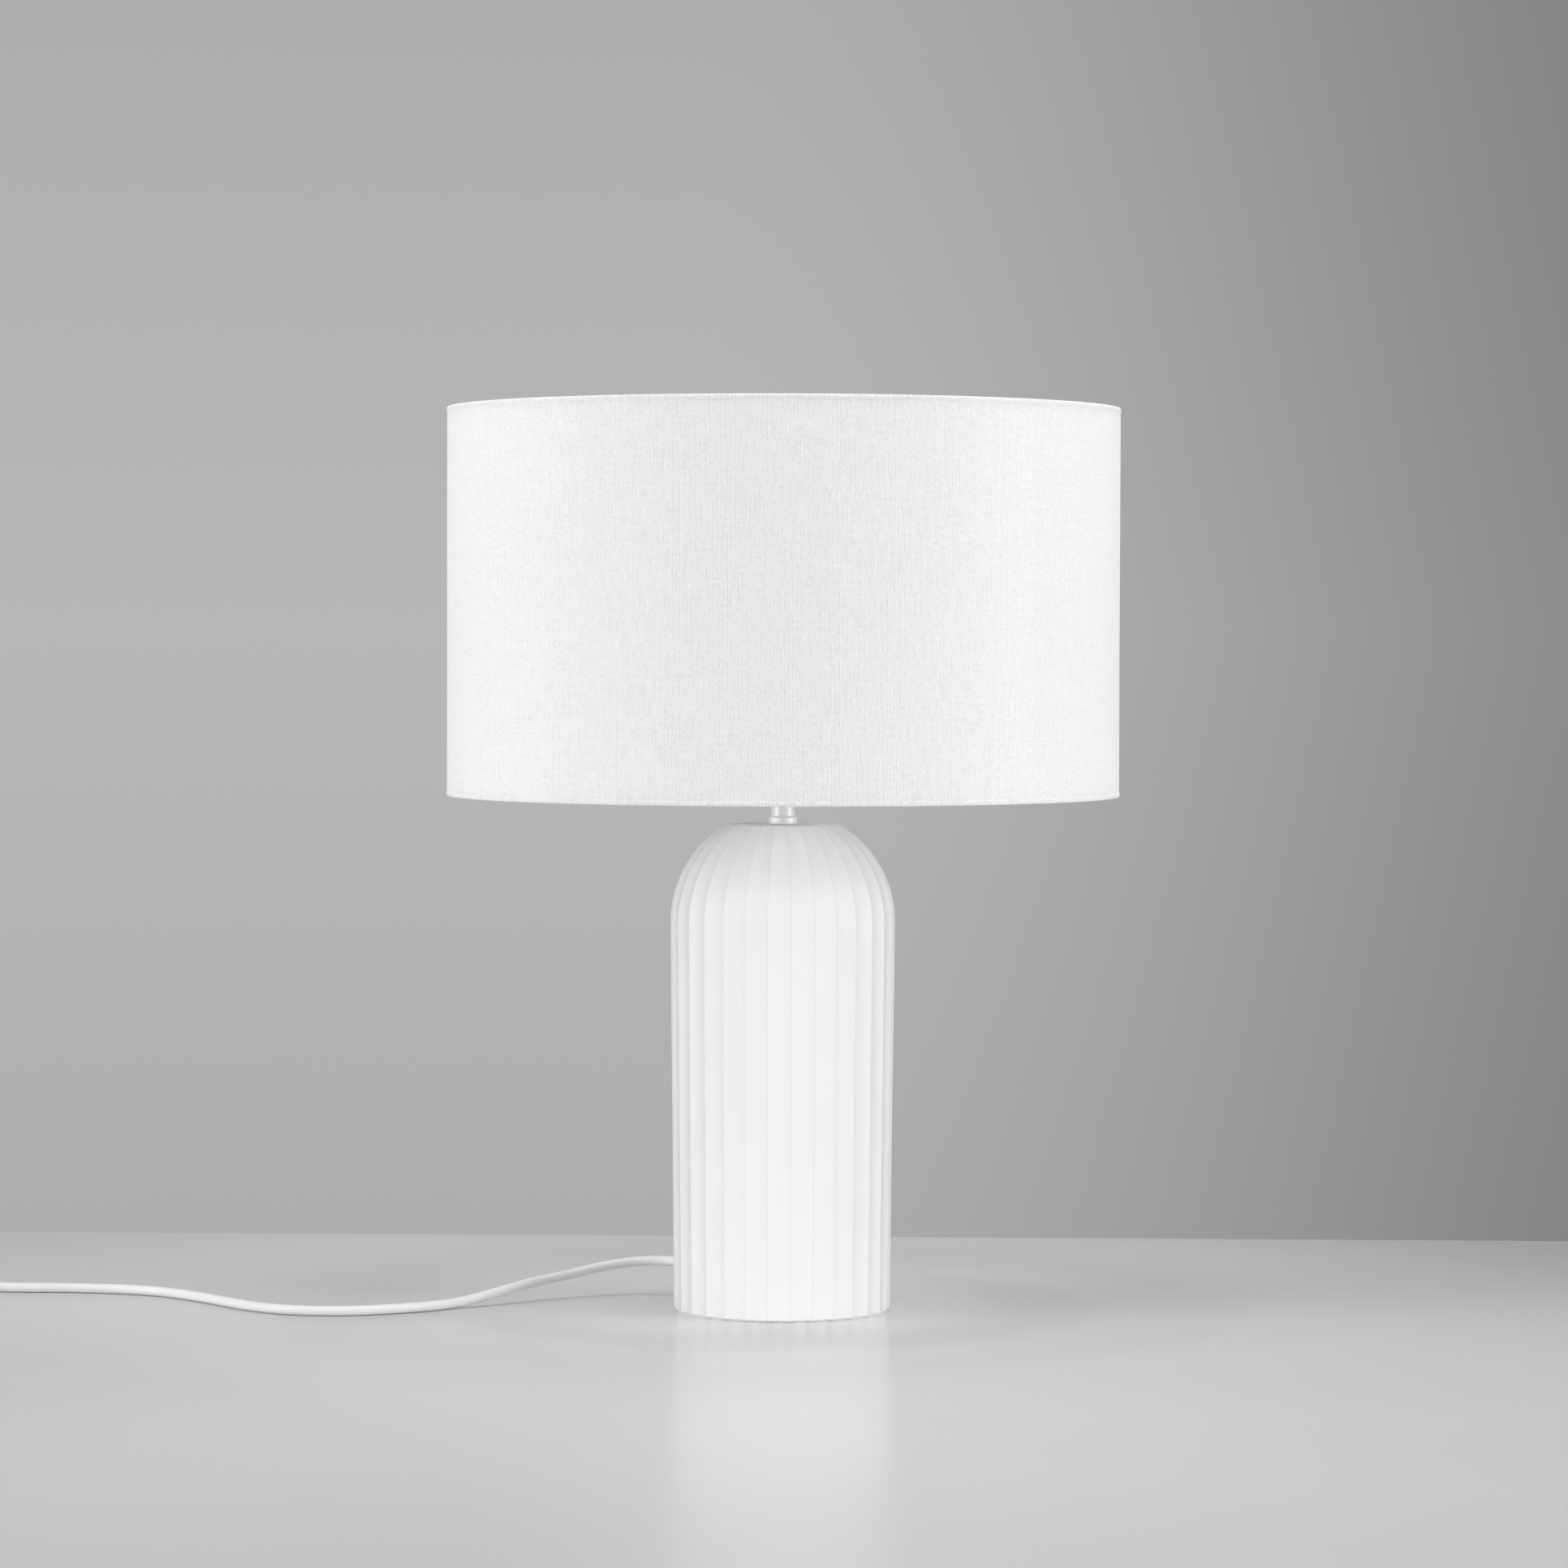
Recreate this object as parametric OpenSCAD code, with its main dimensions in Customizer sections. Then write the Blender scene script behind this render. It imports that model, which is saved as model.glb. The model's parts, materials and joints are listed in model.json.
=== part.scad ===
// Table lamp: a fluted ceramic base, a metal neck, an E27 holder with a bulb, a
// fabric drum shade, and a mains lead with an inline switch and a two-pin plug.
// Millimetres. The origin is the centre of the foot, on the table. +Z is up and
// the front of the lamp faces -Y.

/* [Base] */
// Radius over the ridges between the flutes, where the dome begins
base_r = 67; // [63:0.5:70]
// Radius over the ridges at the foot
foot_r = 64.5; // [62:0.5:66]
// Height of the dome's centre above the table
dome_z = 232; // [200:1:260]
// Number of flutes round the base
flutes = 30; // [24:2:36]
// Depth of a flute below its ridges
flute_depth = 1.5; // [1.2:0.1:1.8]
// Turn of the first flute from +X, in degrees
flute_turn = 4.3; // [0.3:1:11.3]
// Thickness of the ceramic wall
wall = 6; // [5:0.5:7]
// Thickness of the felt pad under the foot
felt_t = 1.2; // [1:0.1:2]
// Thickness of the steel plate that closes the foot
plate_t = 3; // [2:0.5:4]
// Height of the iron weight that stands on the plate
weight_h = 9; // [6:0.5:9]

/* [Neck] */
// Radius of the metal cap let into the top of the ceramic
cap_r = 29; // [27:0.5:30]
// Radius of the tube between the base and the holder
stem_r = 7.15; // [6.5:0.05:8]
// Height of the ring round the foot of the tube
collar_h = 5.5; // [4:0.5:8]
// Height of the tube above the ring
stem_h = 28; // [20:1:40]
// Outer radius of the threaded pipe, an M10 x 1 thread
pipe_r = 5; // [5:0.1:5.1]
// Bore radius of the threaded pipe
pipe_bore_r = 3.6; // [3.3:0.1:3.8]

/* [Shade] */
// Outer diameter of the shade
shade_d = 400; // [340:5:440]
// Height of the shade
shade_h = 230; // [200:5:260]
// Height of the lower edge of the shade above the table
shade_z = 307; // [304:1:312]
// Thickness of the shade's wire rings
wire_d = 3; // [2.5:0.5:4]
// Thickness of the three arms that carry the shade
arm_d = 3.6; // [3:0.2:4]
// Height of the rolled hem at each edge of the shade
hem_w = 3; // [2:0.5:12]
// Bore radius of the fitter ring, for an E27 holder
fitter_r = 21; // [20.5:0.1:21]

/* [Bulb] */
// Radius of the bulb's round glass
bulb_r = 30; // [25:0.5:30]
// Height of the centre of the round glass above the holder's rim
bulb_rise = 52; // [50:1:58]

/* [Lead] */
// Outer diameter of the round mains lead
lead_d = 6; // [5.6:0.1:6]
// Turn of the lead's exit from +X, in degrees
exit_turn = 136; // [125:1:150]
// Height of the lead's exit above the table
exit_z = 21; // [20:0.5:24]
// Reach of the rubber boot beyond the ceramic
boot_reach = 16; // [14:1:20]
// Length of the inline switch
switch_l = 62; // [58:1:66]
// Width of the inline switch
switch_w = 25; // [24:1:27]
// Height of the inline switch
switch_h = 17; // [16:1:18]

/* [Hidden] */
$fn = 96;
eps = 0.01;

// Base
flute_pitch = 360 / flutes;
top_z = dome_z + base_r * sin(60);   // the dome is cut off flat at 60 degrees
inner_r = foot_r - wall;
dome_inner_r = base_r - wall - 0.5;
foot_ledge_r = inner_r - 3;
foot_ledge_h = 8;
plate_r = inner_r - 0.3;
plate_z = felt_t;
ledge_z = plate_z + plate_t;
weight_r = 47;
cap_t = 2.6;
cap_z = top_z - 0.5;    // top face of the metal cap, just under the ceramic rim
throat_r = 18;

// Neck
collar_z = cap_z;
stem_z = collar_z + collar_h;
holder_z = stem_z + stem_h;
washer_z = top_z - 10;   // underside of the ceramic that the washer bears on
pipe_z = washer_z - 22;
pipe_top = holder_z + 9;

// Holder, measured from its lowest point
holder_cap_h = 24;
holder_h = 62;
holder_r = 19.6;
holder_rim = holder_z + holder_h;
thread_pitch = 3.6;
fitter_z = holder_z + 34;
fitter_t = 1.6;
nut_gap = 0.1;
nut_h = 6;
bulb_cap_r = 13.1;
bulb_cap_h = 26;

// Shade, outside in
hem_t = 0.3;
fabric_t = 0.4;
liner_t = 0.4;
shade_r = shade_d / 2;
fabric_r = shade_r - hem_t;
liner_r = fabric_r - fabric_t;
wire_path_r = liner_r - liner_t - 0.1 - wire_d / 2;
shade_top = shade_z + shade_h;
arm_step = 14;

// Lead
lead_r = lead_d / 2;
lead_sides = 10;
exit_r = foot_r - 2;     // flat seat for the bushing, cut into the outside
seat_r = inner_r + 0.4;  // flat seat for its nut, cut into the inside
boot_tip = exit_r + 2 + boot_reach;
coil_lift = 1;          // thickness of the tie under the coil
coil_x = -603;
coil_y = 30;
coil_inner_r = 24;
coil_outer_r = 42;
coil_h = 12;
switch_x = -536;
switch_y = 69;
switch_axis_z = 8;
cover_z = switch_h - 1.5;   // top of the cover; the rocker stands above it
rocker_z = 11.5;            // height of the rocker's pivot
rocker_tilt = 8;
plug_x = -558;
plug_y = -16;
plug_axis_z = 6.8;
plug_turn = -20;         // the pins point clear of the base
pin_y = 9.5;             // half the distance between the plug's pins
sleeve_r = 1.8;          // the pins' insulating sleeves
exit_point = [boot_tip * cos(exit_turn), boot_tip * sin(exit_turn), exit_z];

// Route of the lead from the boot to the switch, along the table
run_route = concat([exit_point], [
  [-71, 64, 21], [-86, 66, 20.5], [-102, 62, 19], [-118, 54, 16.5], [-133, 44, 14],
  [-148, 34, 12], [-163, 22, 9.2], [-178, 10.5, 6.2], [-192, 0, 3.8], [-206, -10.5, 3],
  [-222, -21.5, 3], [-239, -30, 3], [-257, -35.5, 3], [-275, -35.5, 3], [-292, -31, 3],
  [-307, -22, 3], [-320, -10, 3], [-332, 4, 3], [-344, 18.5, 3], [-357, 33, 3],
  [-371, 46, 3], [-387, 56, 3], [-405, 62.5, 3], [-424, 66.5, 3], [-443, 69, 3],
  [-462, 69, 3], [-477, 69, 3.4], [-490, 69, 5.5], [-505, 69, 8]
]);
// Route from the switch to the coil, and from the coil to the plug
link_route = [[-567, 69, 8], [-582, 69, 6], [-597, 69, 4]];
tail_route = [[-597, -9, 10], [-559, -15.64, 6.8], [-550.5, -18.73, 6.8]];

// ---------- shared shapes ----------

module ring(outer, inner, h) {
  difference() {
    cylinder(h = h, r = outer);
    translate([0, 0, -1]) cylinder(h = h + 2, r = inner);
  }
}

module torus(path_r, r) {
  rotate_extrude() translate([path_r, 0]) circle(r = r, $fn = 48);
}

// A straight round bar between two points
module bar(a, b, r) {
  v = b - a;
  len = norm(v);
  translate(a)
    rotate([0, acos(v[2] / len), atan2(v[1], v[0])])
      cylinder(h = len, r = r, $fn = 48);
}

// A round bar with a small knuckle at each bend of its route
module bent_bar(route, r) {
  for (i = [1:len(route) - 1]) bar(route[i - 1], route[i], r);
  for (i = [1:len(route) - 2]) translate(route[i]) sphere(r = 1.06 * r, $fn = 48);
}

// Rounded ridges of a thread, laid round a cylinder
module thread_ridges(path_r, ridge_r, z0, count, pitch) {
  for (i = [0:count - 1]) translate([0, 0, z0 + i * pitch]) torus(path_r, ridge_r);
}

module hex_nut(across, bore, h) {
  difference() {
    cylinder(h = h, r = across / 2 / cos(30), $fn = 6);
    translate([0, 0, -1]) cylinder(h = h + 2, r = bore);
  }
}

// A plate with round corners, standing on z = 0
module round_plate(l, w, h, corner) {
  for (s = [[1, 0], [0, 1]])
    translate([-l / 2 + corner * s[0], -w / 2 + corner * s[1], 0])
      cube([l - 2 * corner * s[0], w - 2 * corner * s[1], h]);
  for (x = [-1, 1], y = [-1, 1])
    translate([x * (l / 2 - corner), y * (w / 2 - corner), 0])
      cylinder(h = h, r = corner);
}

function unit(v) = v / norm(v);
function along(route, i) = unit(
  route[min(i + 1, len(route) - 1)] - route[max(i - 1, 0)]
);
// One ring of points round the route at point i
function lead_ring(route, i) =
  let (
    t = along(route, i),
    side = unit(cross([0, 0, 1], t)),
    up = cross(t, side)
  )
  [for (k = [0:lead_sides - 1])
    let (a = 360 * (k + 0.5) / lead_sides)
    route[i] + lead_r * (cos(a) * side + sin(a) * up)];

// The lead as a closed tube swept along a route
module lead_tube(route) {
  last = len(route) - 1;
  n = lead_sides;
  points = [for (i = [0:last]) each lead_ring(route, i)];
  walls = [for (i = [0:last - 1], k = [0:n - 1])
    [i * n + k, i * n + (k + 1) % n, (i + 1) * n + (k + 1) % n, (i + 1) * n + k]];
  start_face = [for (k = [n - 1:-1:0]) k];
  end_face = [for (k = [0:n - 1]) last * n + k];
  polyhedron(points = points, faces = concat([start_face, end_face], walls));
}

// Places a child that points along +X at the lead's exit from the base
module at_exit() {
  rotate([0, 0, exit_turn]) translate([0, 0, exit_z]) rotate([0, 90, 0]) children();
}

// ---------- base ----------

// Radius of the ridges at a height
function ridge_r(z) = z < dome_z
  ? foot_r + (base_r - foot_r) * (z - felt_t) / (dome_z - felt_t)
  : sqrt(base_r * base_r - (z - dome_z) * (z - dome_z));
// Radius at a height, a share u of the way across a flute, from 0 to 1
function flute_wall_r(z, u) =
  let (r = ridge_r(z), depth = flute_depth * r * r / (base_r * base_r))
  r - depth * (1 - (2 * u - 1) * (2 * u - 1));

// The outside of the base: one ring of points at each level, six steps a flute
module fluted_blank() {
  steps = 6;
  n = flutes * steps;
  levels = concat([felt_t], [for (i = [0:9]) dome_z + base_r * sin(60 * i / 9)]);
  last = len(levels) - 1;
  points = [for (z = levels, k = [0:n - 1])
    let (
      r = flute_wall_r(z, (k % steps) / steps),
      a = flute_turn + flute_pitch * (k / steps - 0.5)
    )
    [r * cos(a), r * sin(a), z]];
  walls = [for (i = [0:last - 1], k = [0:n - 1])
    [i * n + k, i * n + (k + 1) % n, (i + 1) * n + (k + 1) % n, (i + 1) * n + k]];
  foot_face = [for (k = [n - 1:-1:0]) k];
  top_face = [for (k = [0:n - 1]) last * n + k];
  polyhedron(points = points, faces = concat([foot_face, top_face], walls));
}

module base_hollow() {
  translate([0, 0, felt_t - 1]) cylinder(h = plate_t + 1, r = inner_r);
  cylinder(h = dome_z, r = foot_ledge_r);
  translate([0, 0, ledge_z + foot_ledge_h])
    cylinder(h = dome_z - ledge_z - foot_ledge_h + eps, r = inner_r);
  intersection() {
    translate([0, 0, dome_z]) sphere(r = dome_inner_r);
    translate([-100, -100, dome_z]) cube([200, 200, washer_z - dome_z]);
  }
}

module base_body() {
  color("white")
  difference() {
    fluted_blank();
    base_hollow();
    cylinder(h = top_z + 1, r = throat_r);
    translate([0, 0, cap_z - cap_t]) cylinder(h = 20, r = cap_r + 0.1);
    at_exit() translate([0, 0, 30]) cylinder(h = 60, r = 5.2);
    at_exit() translate([0, 0, exit_r]) cylinder(h = 20, r = 8);
    at_exit() translate([0, 0, 45]) cylinder(h = seat_r - 45, r = 8.6);
  }
}

module felt_pad() {
  color("gray") cylinder(h = felt_t, r = foot_r - 2);
}

module foot_plate() {
  color("silver")
  difference() {
    translate([0, 0, plate_z]) cylinder(h = plate_t, r = plate_r);
    translate([0, 0, plate_z - 1]) cylinder(h = plate_t + 2, r = 3.1);
    translate([0, 0, plate_z - eps]) cylinder(h = 2, r1 = 6.1, r2 = 3.1);
  }
}

module iron_weight() {
  color("dimgray")
  difference() {
    translate([0, 0, ledge_z]) cylinder(h = weight_h, r = weight_r);
    translate([0, 0, ledge_z - 1]) cylinder(h = weight_h + 2, r = 2.55);
  }
}

module weight_bolt() {
  color("silver") {
    translate([0, 0, plate_z]) cylinder(h = 1.9, r1 = 6, r2 = 3);
    translate([0, 0, plate_z]) cylinder(h = ledge_z - plate_z + weight_h - 1, r = 2.5);
  }
}

// ---------- neck ----------

module top_cap() {
  color("silver")
  difference() {
    translate([0, 0, cap_z - cap_t]) cylinder(h = cap_t, r = cap_r);
    translate([0, 0, cap_z - cap_t - 1]) cylinder(h = cap_t + 2, r = pipe_r + 0.1);
  }
}

module clamp_washer() {
  color("silver")
  translate([0, 0, washer_z - 2]) ring(24, pipe_r + 0.1, 2);
}

module lock_washer() {
  color("gray")
  difference() {
    translate([0, 0, washer_z - 3]) ring(9, pipe_r + 0.1, 1);
    for (k = [0:11])
      rotate([0, 0, 30 * k]) translate([9.4, 0, washer_z - 4]) cylinder(h = 3, r = 1.2);
  }
}

module clamp_nut() {
  color("goldenrod") translate([0, 0, washer_z - 8]) hex_nut(17, pipe_r + 0.05, 5);
}

module threaded_pipe() {
  color("goldenrod")
  translate([0, 0, pipe_z]) ring(pipe_r, pipe_bore_r, pipe_top - pipe_z);
}

module neck_collar() {
  color("silver")
  translate([0, 0, collar_z])
  difference() {
    union() {
      cylinder(h = collar_h, r = stem_r + 0.5);
      translate([0, 0, collar_h / 2]) torus(stem_r - 0.6, 2);
      translate([0, 0, collar_h / 2 - 0.75]) cylinder(h = 1.5, r = stem_r + 1.4);
    }
    translate([0, 0, -1]) cylinder(h = collar_h + 2, r = pipe_r + 0.1);
  }
}

module stem_tube() {
  color("silver") translate([0, 0, stem_z]) ring(stem_r, pipe_r + 0.1, stem_h);
}

// ---------- lead inside the base ----------

module lead_bushing() {
  color("white")
  at_exit()
  difference() {
    union() {
      translate([0, 0, exit_r - 14]) cylinder(h = 14, r = 4.9);
      translate([0, 0, exit_r]) cylinder(h = 2.5, r = 7);
      translate([0, 0, exit_r + 2]) cylinder(h = boot_reach, r1 = 5, r2 = 3.8);
      for (k = [0:3])
        translate([0, 0, exit_r + 4 + 3.2 * k]) cylinder(h = 1.6, r = 5.3 - 0.3 * k);
    }
    translate([0, 0, exit_r - 20]) cylinder(h = 60, r = lead_r + 0.05);
  }
}

module bushing_nut() {
  color("white") at_exit() translate([0, 0, seat_r - 4]) hex_nut(14, 4.95, 4);
}

// The lead's way from the boot through the empty base and up the pipe
module inner_lead() {
  bend_r = 30;
  color("white") {
    at_exit() translate([0, 0, bend_r]) cylinder(h = boot_tip - bend_r, r = lead_r);
    rotate([0, 0, exit_turn]) translate([bend_r, 0, exit_z + bend_r])
      rotate([90, 0, 0]) rotate([0, 0, 180]) rotate_extrude(angle = 90)
        translate([bend_r, 0]) circle(r = lead_r);
    translate([0, 0, exit_z + bend_r])
      cylinder(h = pipe_top + 3 - exit_z - bend_r, r = lead_r);
  }
}

// ---------- holder ----------

module holder_cap() {
  color("white")
  translate([0, 0, holder_z])
  difference() {
    union() {
      cylinder(h = 11, r = 9);
      translate([0, 0, 4]) cylinder(h = 12, r1 = 10, r2 = holder_r);
      translate([0, 0, 16]) cylinder(h = holder_cap_h - 16, r = holder_r);
    }
    translate([0, 0, 11]) cylinder(h = 5, r1 = 8, r2 = holder_r - 2);
    translate([0, 0, 16 - eps]) cylinder(h = 20, r = holder_r - 2);
    translate([0, 0, -1]) cylinder(h = 13, r = pipe_r + 0.05);
    translate([0, 0, 6]) rotate([0, -90, 0]) cylinder(h = 20, r = 1.55);
  }
}

module cap_grub_screw() {
  color("silver")
  translate([-pipe_r - 0.1, 0, holder_z + 6]) rotate([0, -90, 0])
  difference() {
    cylinder(h = 6, r = 1.5);
    translate([-1, -0.4, 5]) cube([2, 0.8, 2]);
  }
}

module holder_insert() {
  color("ivory")
  translate([0, 0, holder_z + 18])
  difference() {
    cylinder(h = 12, r = holder_r - 2.1);
    translate([0, 0, 9]) cylinder(h = 4, r = 14.2);
    for (s = [-1, 1]) {
      translate([0, 11.5 * s, -1]) cylinder(h = 20, r = 1.6);
      translate([9 * s, 0, -1]) cylinder(h = 20, r = 1.2);
    }
  }
}

// A bent leaf spring under the tip of the bulb
module centre_contact() {
  color("gold")
  translate([3, 0, holder_z + 27]) rotate([90, 0, -90]) linear_extrude(6)
    polygon([[-9, 0], [-6, 0], [-2, 4.6], [3, 4.6], [3, 5.2], [-2.3, 5.2], [-6.3, 0.6], [-9, 0.6]]);
}

module screw_contact() {
  color("gold")
  translate([0, 0, holder_z + 27.9]) {
    ring(14.1, 13.5, 27);
    for (k = [0:4]) translate([0, 0, 4 + k * thread_pitch]) difference() {
      torus(14.1, 0.5);
      cylinder(h = 4, r = 13.5, center = true);
    }
  }
}

module terminal_screws() {
  color("silver")
  for (s = [-1, 1]) translate([0, 11.5 * s, holder_z + 14.5]) {
    cylinder(h = 12, r = 1.5);
    cylinder(h = 2.5, r = 3);
  }
}

module holder_wires() {
  foot = [0, 0, pipe_top + 3];
  for (s = [-1, 1])
    color(s > 0 ? "saddlebrown" : "steelblue")
    bent_bar([
      foot + [0, 1.4 * s, 0], foot + [0, 1.4 * s, 1.5], [5 * s, 7 * s, holder_z + 14],
      [9 * s, 0, holder_z + 17], [9 * s, 0, holder_z + 22]
    ], 0.9);
}

module holder_shell() {
  shell_z = holder_z + holder_cap_h;
  color("white")
  difference() {
    union() {
      translate([0, 0, shell_z]) cylinder(h = holder_h - holder_cap_h, r = holder_r - 0.6);
      translate([0, 0, shell_z + 0.4]) cylinder(h = 2, r = holder_r);
      thread_ridges(holder_r - 0.6, 0.6, shell_z + 5, 13, 2.4);
    }
    translate([0, 0, shell_z - 1]) cylinder(h = 7, r = holder_r - 2);
    translate([0, 0, shell_z]) cylinder(h = 60, r = 15);
  }
}

module shade_nut() {
  difference() {
    union() {
      cylinder(h = 1.6, r = 27.5);
      cylinder(h = nut_h, r = 23);
      for (k = [0:11]) rotate([0, 0, 30 * k]) translate([22.5, 0, 0])
        cylinder(h = nut_h, r = 1.8, $fn = 32);
    }
    translate([0, 0, -1]) cylinder(h = nut_h + 2, r = holder_r + 0.1);
  }
}

module lower_shade_nut() {
  color("white") translate([0, 0, fitter_z - nut_gap]) mirror([0, 0, 1]) shade_nut();
}

module upper_shade_nut() {
  color("white") translate([0, 0, fitter_z + fitter_t + nut_gap]) shade_nut();
}

// ---------- shade ----------

module shade_spider() {
  arm_z = shade_z + hem_t + arm_d / 2 + 0.1;
  ring_z = fitter_z + fitter_t / 2;
  color("white") {
    translate([0, 0, fitter_z]) ring(27, fitter_r, fitter_t);
    for (turn = [90, 210, 330]) rotate([0, 0, turn]) {
      bent_bar([
        [wire_path_r - wire_d / 2 + 0.3, 0, arm_z],
        [wire_path_r - arm_step, 0, arm_z],
        [29, 0, ring_z]
      ], arm_d / 2);
      translate([25, -3, fitter_z]) cube([5, 6, fitter_t]);
    }
  }
}

module bottom_wire() {
  color("white") translate([0, 0, shade_z + hem_t + wire_d / 2]) torus(wire_path_r, wire_d / 2);
}

module top_wire() {
  color("white") translate([0, 0, shade_top - hem_t - wire_d / 2]) torus(wire_path_r, wire_d / 2);
}

module shade_liner() {
  color("white")
  translate([0, 0, shade_z + hem_t]) ring(liner_r, liner_r - liner_t, shade_h - 2 * hem_t);
}

module shade_fabric() {
  color("whitesmoke")
  translate([0, 0, shade_z + hem_t]) ring(fabric_r, liner_r, shade_h - 2 * hem_t);
}

// A strip folded over an edge of the shade and round the wire behind it
module hem() {
  wrap_r = wire_path_r - wire_d / 2 - 0.1;
  rotate_extrude() {
    translate([fabric_r, 0]) square([hem_t, hem_w]);
    translate([wrap_r - hem_t, 0]) square([shade_r - wrap_r + hem_t, hem_t]);
    translate([wrap_r - hem_t, 0]) square([hem_t, wire_d + 2]);
  }
}

module bottom_hem() {
  color("white")
  difference() {
    translate([0, 0, shade_z]) hem();
    for (turn = [90, 210, 330]) rotate([0, 0, turn])
      translate([shade_r - 12, -arm_d / 2 - 0.2, shade_z + 0.1]) cube([8, arm_d + 0.4, 12]);
  }
}

module top_hem() {
  color("white") translate([0, 0, shade_top]) mirror([0, 0, 1]) hem();
}

// ---------- bulb ----------

module bulb_glass() {
  centre_z = holder_rim + bulb_rise;
  neck_z = holder_rim + 20;
  color("ivory")
  difference() {
    union() {
      translate([0, 0, centre_z]) sphere(r = bulb_r);
      translate([0, 0, neck_z]) cylinder(h = centre_z - 14 - neck_z, r1 = 22, r2 = 26.5);
    }
    translate([0, 0, centre_z]) sphere(r = bulb_r - 1);
    translate([0, 0, neck_z - 1]) cylinder(h = centre_z - 13 - neck_z, r1 = 20.5, r2 = 25.5);
  }
}

module bulb_housing() {
  color("white")
  translate([0, 0, holder_rim + 1])
  difference() {
    union() {
      cylinder(h = 19, r1 = 13.4, r2 = 22);
      cylinder(h = 3, r = 14.2);
    }
    translate([0, 0, 4]) cylinder(h = 16, r1 = 11, r2 = 20);
  }
}

module bulb_screw_cap() {
  cap_z0 = holder_rim + 1 - bulb_cap_h;
  color("silver")
  translate([0, 0, cap_z0])
  difference() {
    union() {
      cylinder(h = bulb_cap_h, r = bulb_cap_r - 0.7);
      thread_ridges(bulb_cap_r - 1, 1, 3, 5, thread_pitch);
    }
    translate([0, 0, -1]) cylinder(h = bulb_cap_h + 2, r = bulb_cap_r - 1.2);
  }
}

module bulb_insulator() {
  color("black")
  translate([0, 0, holder_rim + 1 - bulb_cap_h]) difference() {
    translate([0, 0, -3.5]) cylinder(h = 4.5, r1 = 6, r2 = bulb_cap_r - 1.2);
    translate([0, 0, -4]) cylinder(h = 8, r = 4.1);
  }
}

module bulb_tip() {
  color("silver") translate([0, 0, holder_rim + 1 - bulb_cap_h - 4.5]) cylinder(h = 3, r = 4);
}

// ---------- inline switch ----------

module at_switch() {
  translate([switch_x, switch_y, 0]) children();
}

module switch_shape(h) {
  round_plate(switch_l, switch_w, h, 7);
}

module switch_cavity(z0, h) {
  translate([0, 0, z0]) round_plate(switch_l - 8, switch_w - 4, h, 5);
}

module lead_holes() {
  translate([-switch_l, 0, switch_axis_z]) rotate([0, 90, 0])
    cylinder(h = 2 * switch_l, r = lead_r + 0.1);
}

module switch_base() {
  color("white")
  at_switch() difference() {
    switch_shape(switch_axis_z);
    switch_cavity(2, 20);
    lead_holes();
    for (s = [-1, 1]) translate([24 * s, 6 * s, -1]) cylinder(h = 20, r = 1.6);
  }
}

module switch_cover() {
  color("white")
  at_switch() difference() {
    union() {
      difference() {
        translate([0, 0, switch_axis_z]) switch_shape(cover_z - switch_axis_z);
        switch_cavity(switch_axis_z - 1, cover_z - switch_axis_z - 1);
        translate([-12.5, -7.5, 0]) cube([25, 15, 40]);
      }
      for (s = [-1, 1]) translate([24 * s, 6 * s, 2.1]) cylinder(h = cover_z - 3, r = 2.8);
    }
    lead_holes();
    pivot(24.2, 1.05);
    for (s = [-1, 1]) translate([24 * s, 6 * s, 0]) cylinder(h = 9, r = 1.5);
  }
}

// A cylinder along the rocker's pivot
module pivot(length, r) {
  translate([0, 0, rocker_z]) rotate([90, 0, 0]) cylinder(h = length, r = r, center = true);
}

// Drawn pressed down at its left end
module switch_rocker() {
  color("white")
  at_switch() translate([0, 0, rocker_z]) rotate([0, -rocker_tilt, 0]) difference() {
    union() {
      rotate([90, 0, 0]) cylinder(h = 13.4, r = 2.4, center = true);
      translate([-11.6, -6.7, 0]) cube([23.2, 13.4, 4.6]);
    }
    translate([0, 20, 22]) rotate([90, 0, 0]) cylinder(h = 40, r = 18.6);
    rotate([90, 0, 0]) cylinder(h = 40, r = 1.05, center = true);
  }
}

module switch_screws() {
  color("silver")
  at_switch() for (s = [-1, 1]) translate([24 * s, 6 * s, 0.6]) {
    cylinder(h = 7, r = 1.4);
    cylinder(h = 1.4, r = 1.5);
  }
}

// The pivot pin and the two brass terminals under the rocker
module switch_contacts() {
  color("goldenrod")
  at_switch() {
    pivot(23.6, 1);
    for (s = [-1, 1]) translate([9 * s - 2, -9, 2]) cube([4, 5, 4]);
  }
}

// ---------- lead outside the base ----------

module lead_run() {
  color("white") lead_tube(run_route);
}

module lead_link() {
  color("white") lead_tube(link_route);
}

module lead_tail() {
  color("white") lead_tube(tail_route);
}

module lead_coil() {
  color("white")
  translate([coil_x, coil_y, coil_lift]) rotate_extrude() {
    translate([coil_inner_r + 2, 0]) square([coil_outer_r - coil_inner_r - 4, coil_h]);
    translate([coil_inner_r, 2]) square([coil_outer_r - coil_inner_r, coil_h - 4]);
    for (x = [coil_inner_r + 2, coil_outer_r - 2], z = [2, coil_h - 2])
      translate([x, z]) circle(r = 2, $fn = 32);
  }
}

// A strap round the turns on the far side of the coil
module coil_tie() {
  width = coil_outer_r - coil_inner_r + 1.6;
  color("gray")
  translate([coil_x - (coil_inner_r + coil_outer_r) / 2, coil_y, 0]) difference() {
    translate([-width / 2 - 1, -5, 0]) cube([width + 2, 10, coil_h + coil_lift + 1.2]);
    translate([-width / 2, -6, coil_lift - 0.1]) cube([width, 12, coil_h + 0.3]);
  }
}

// ---------- plug ----------

// Places a child that points along +X where the lead enters the plug
module at_plug() {
  translate([plug_x, plug_y, plug_axis_z]) rotate([0, 0, plug_turn]) children();
}

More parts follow.
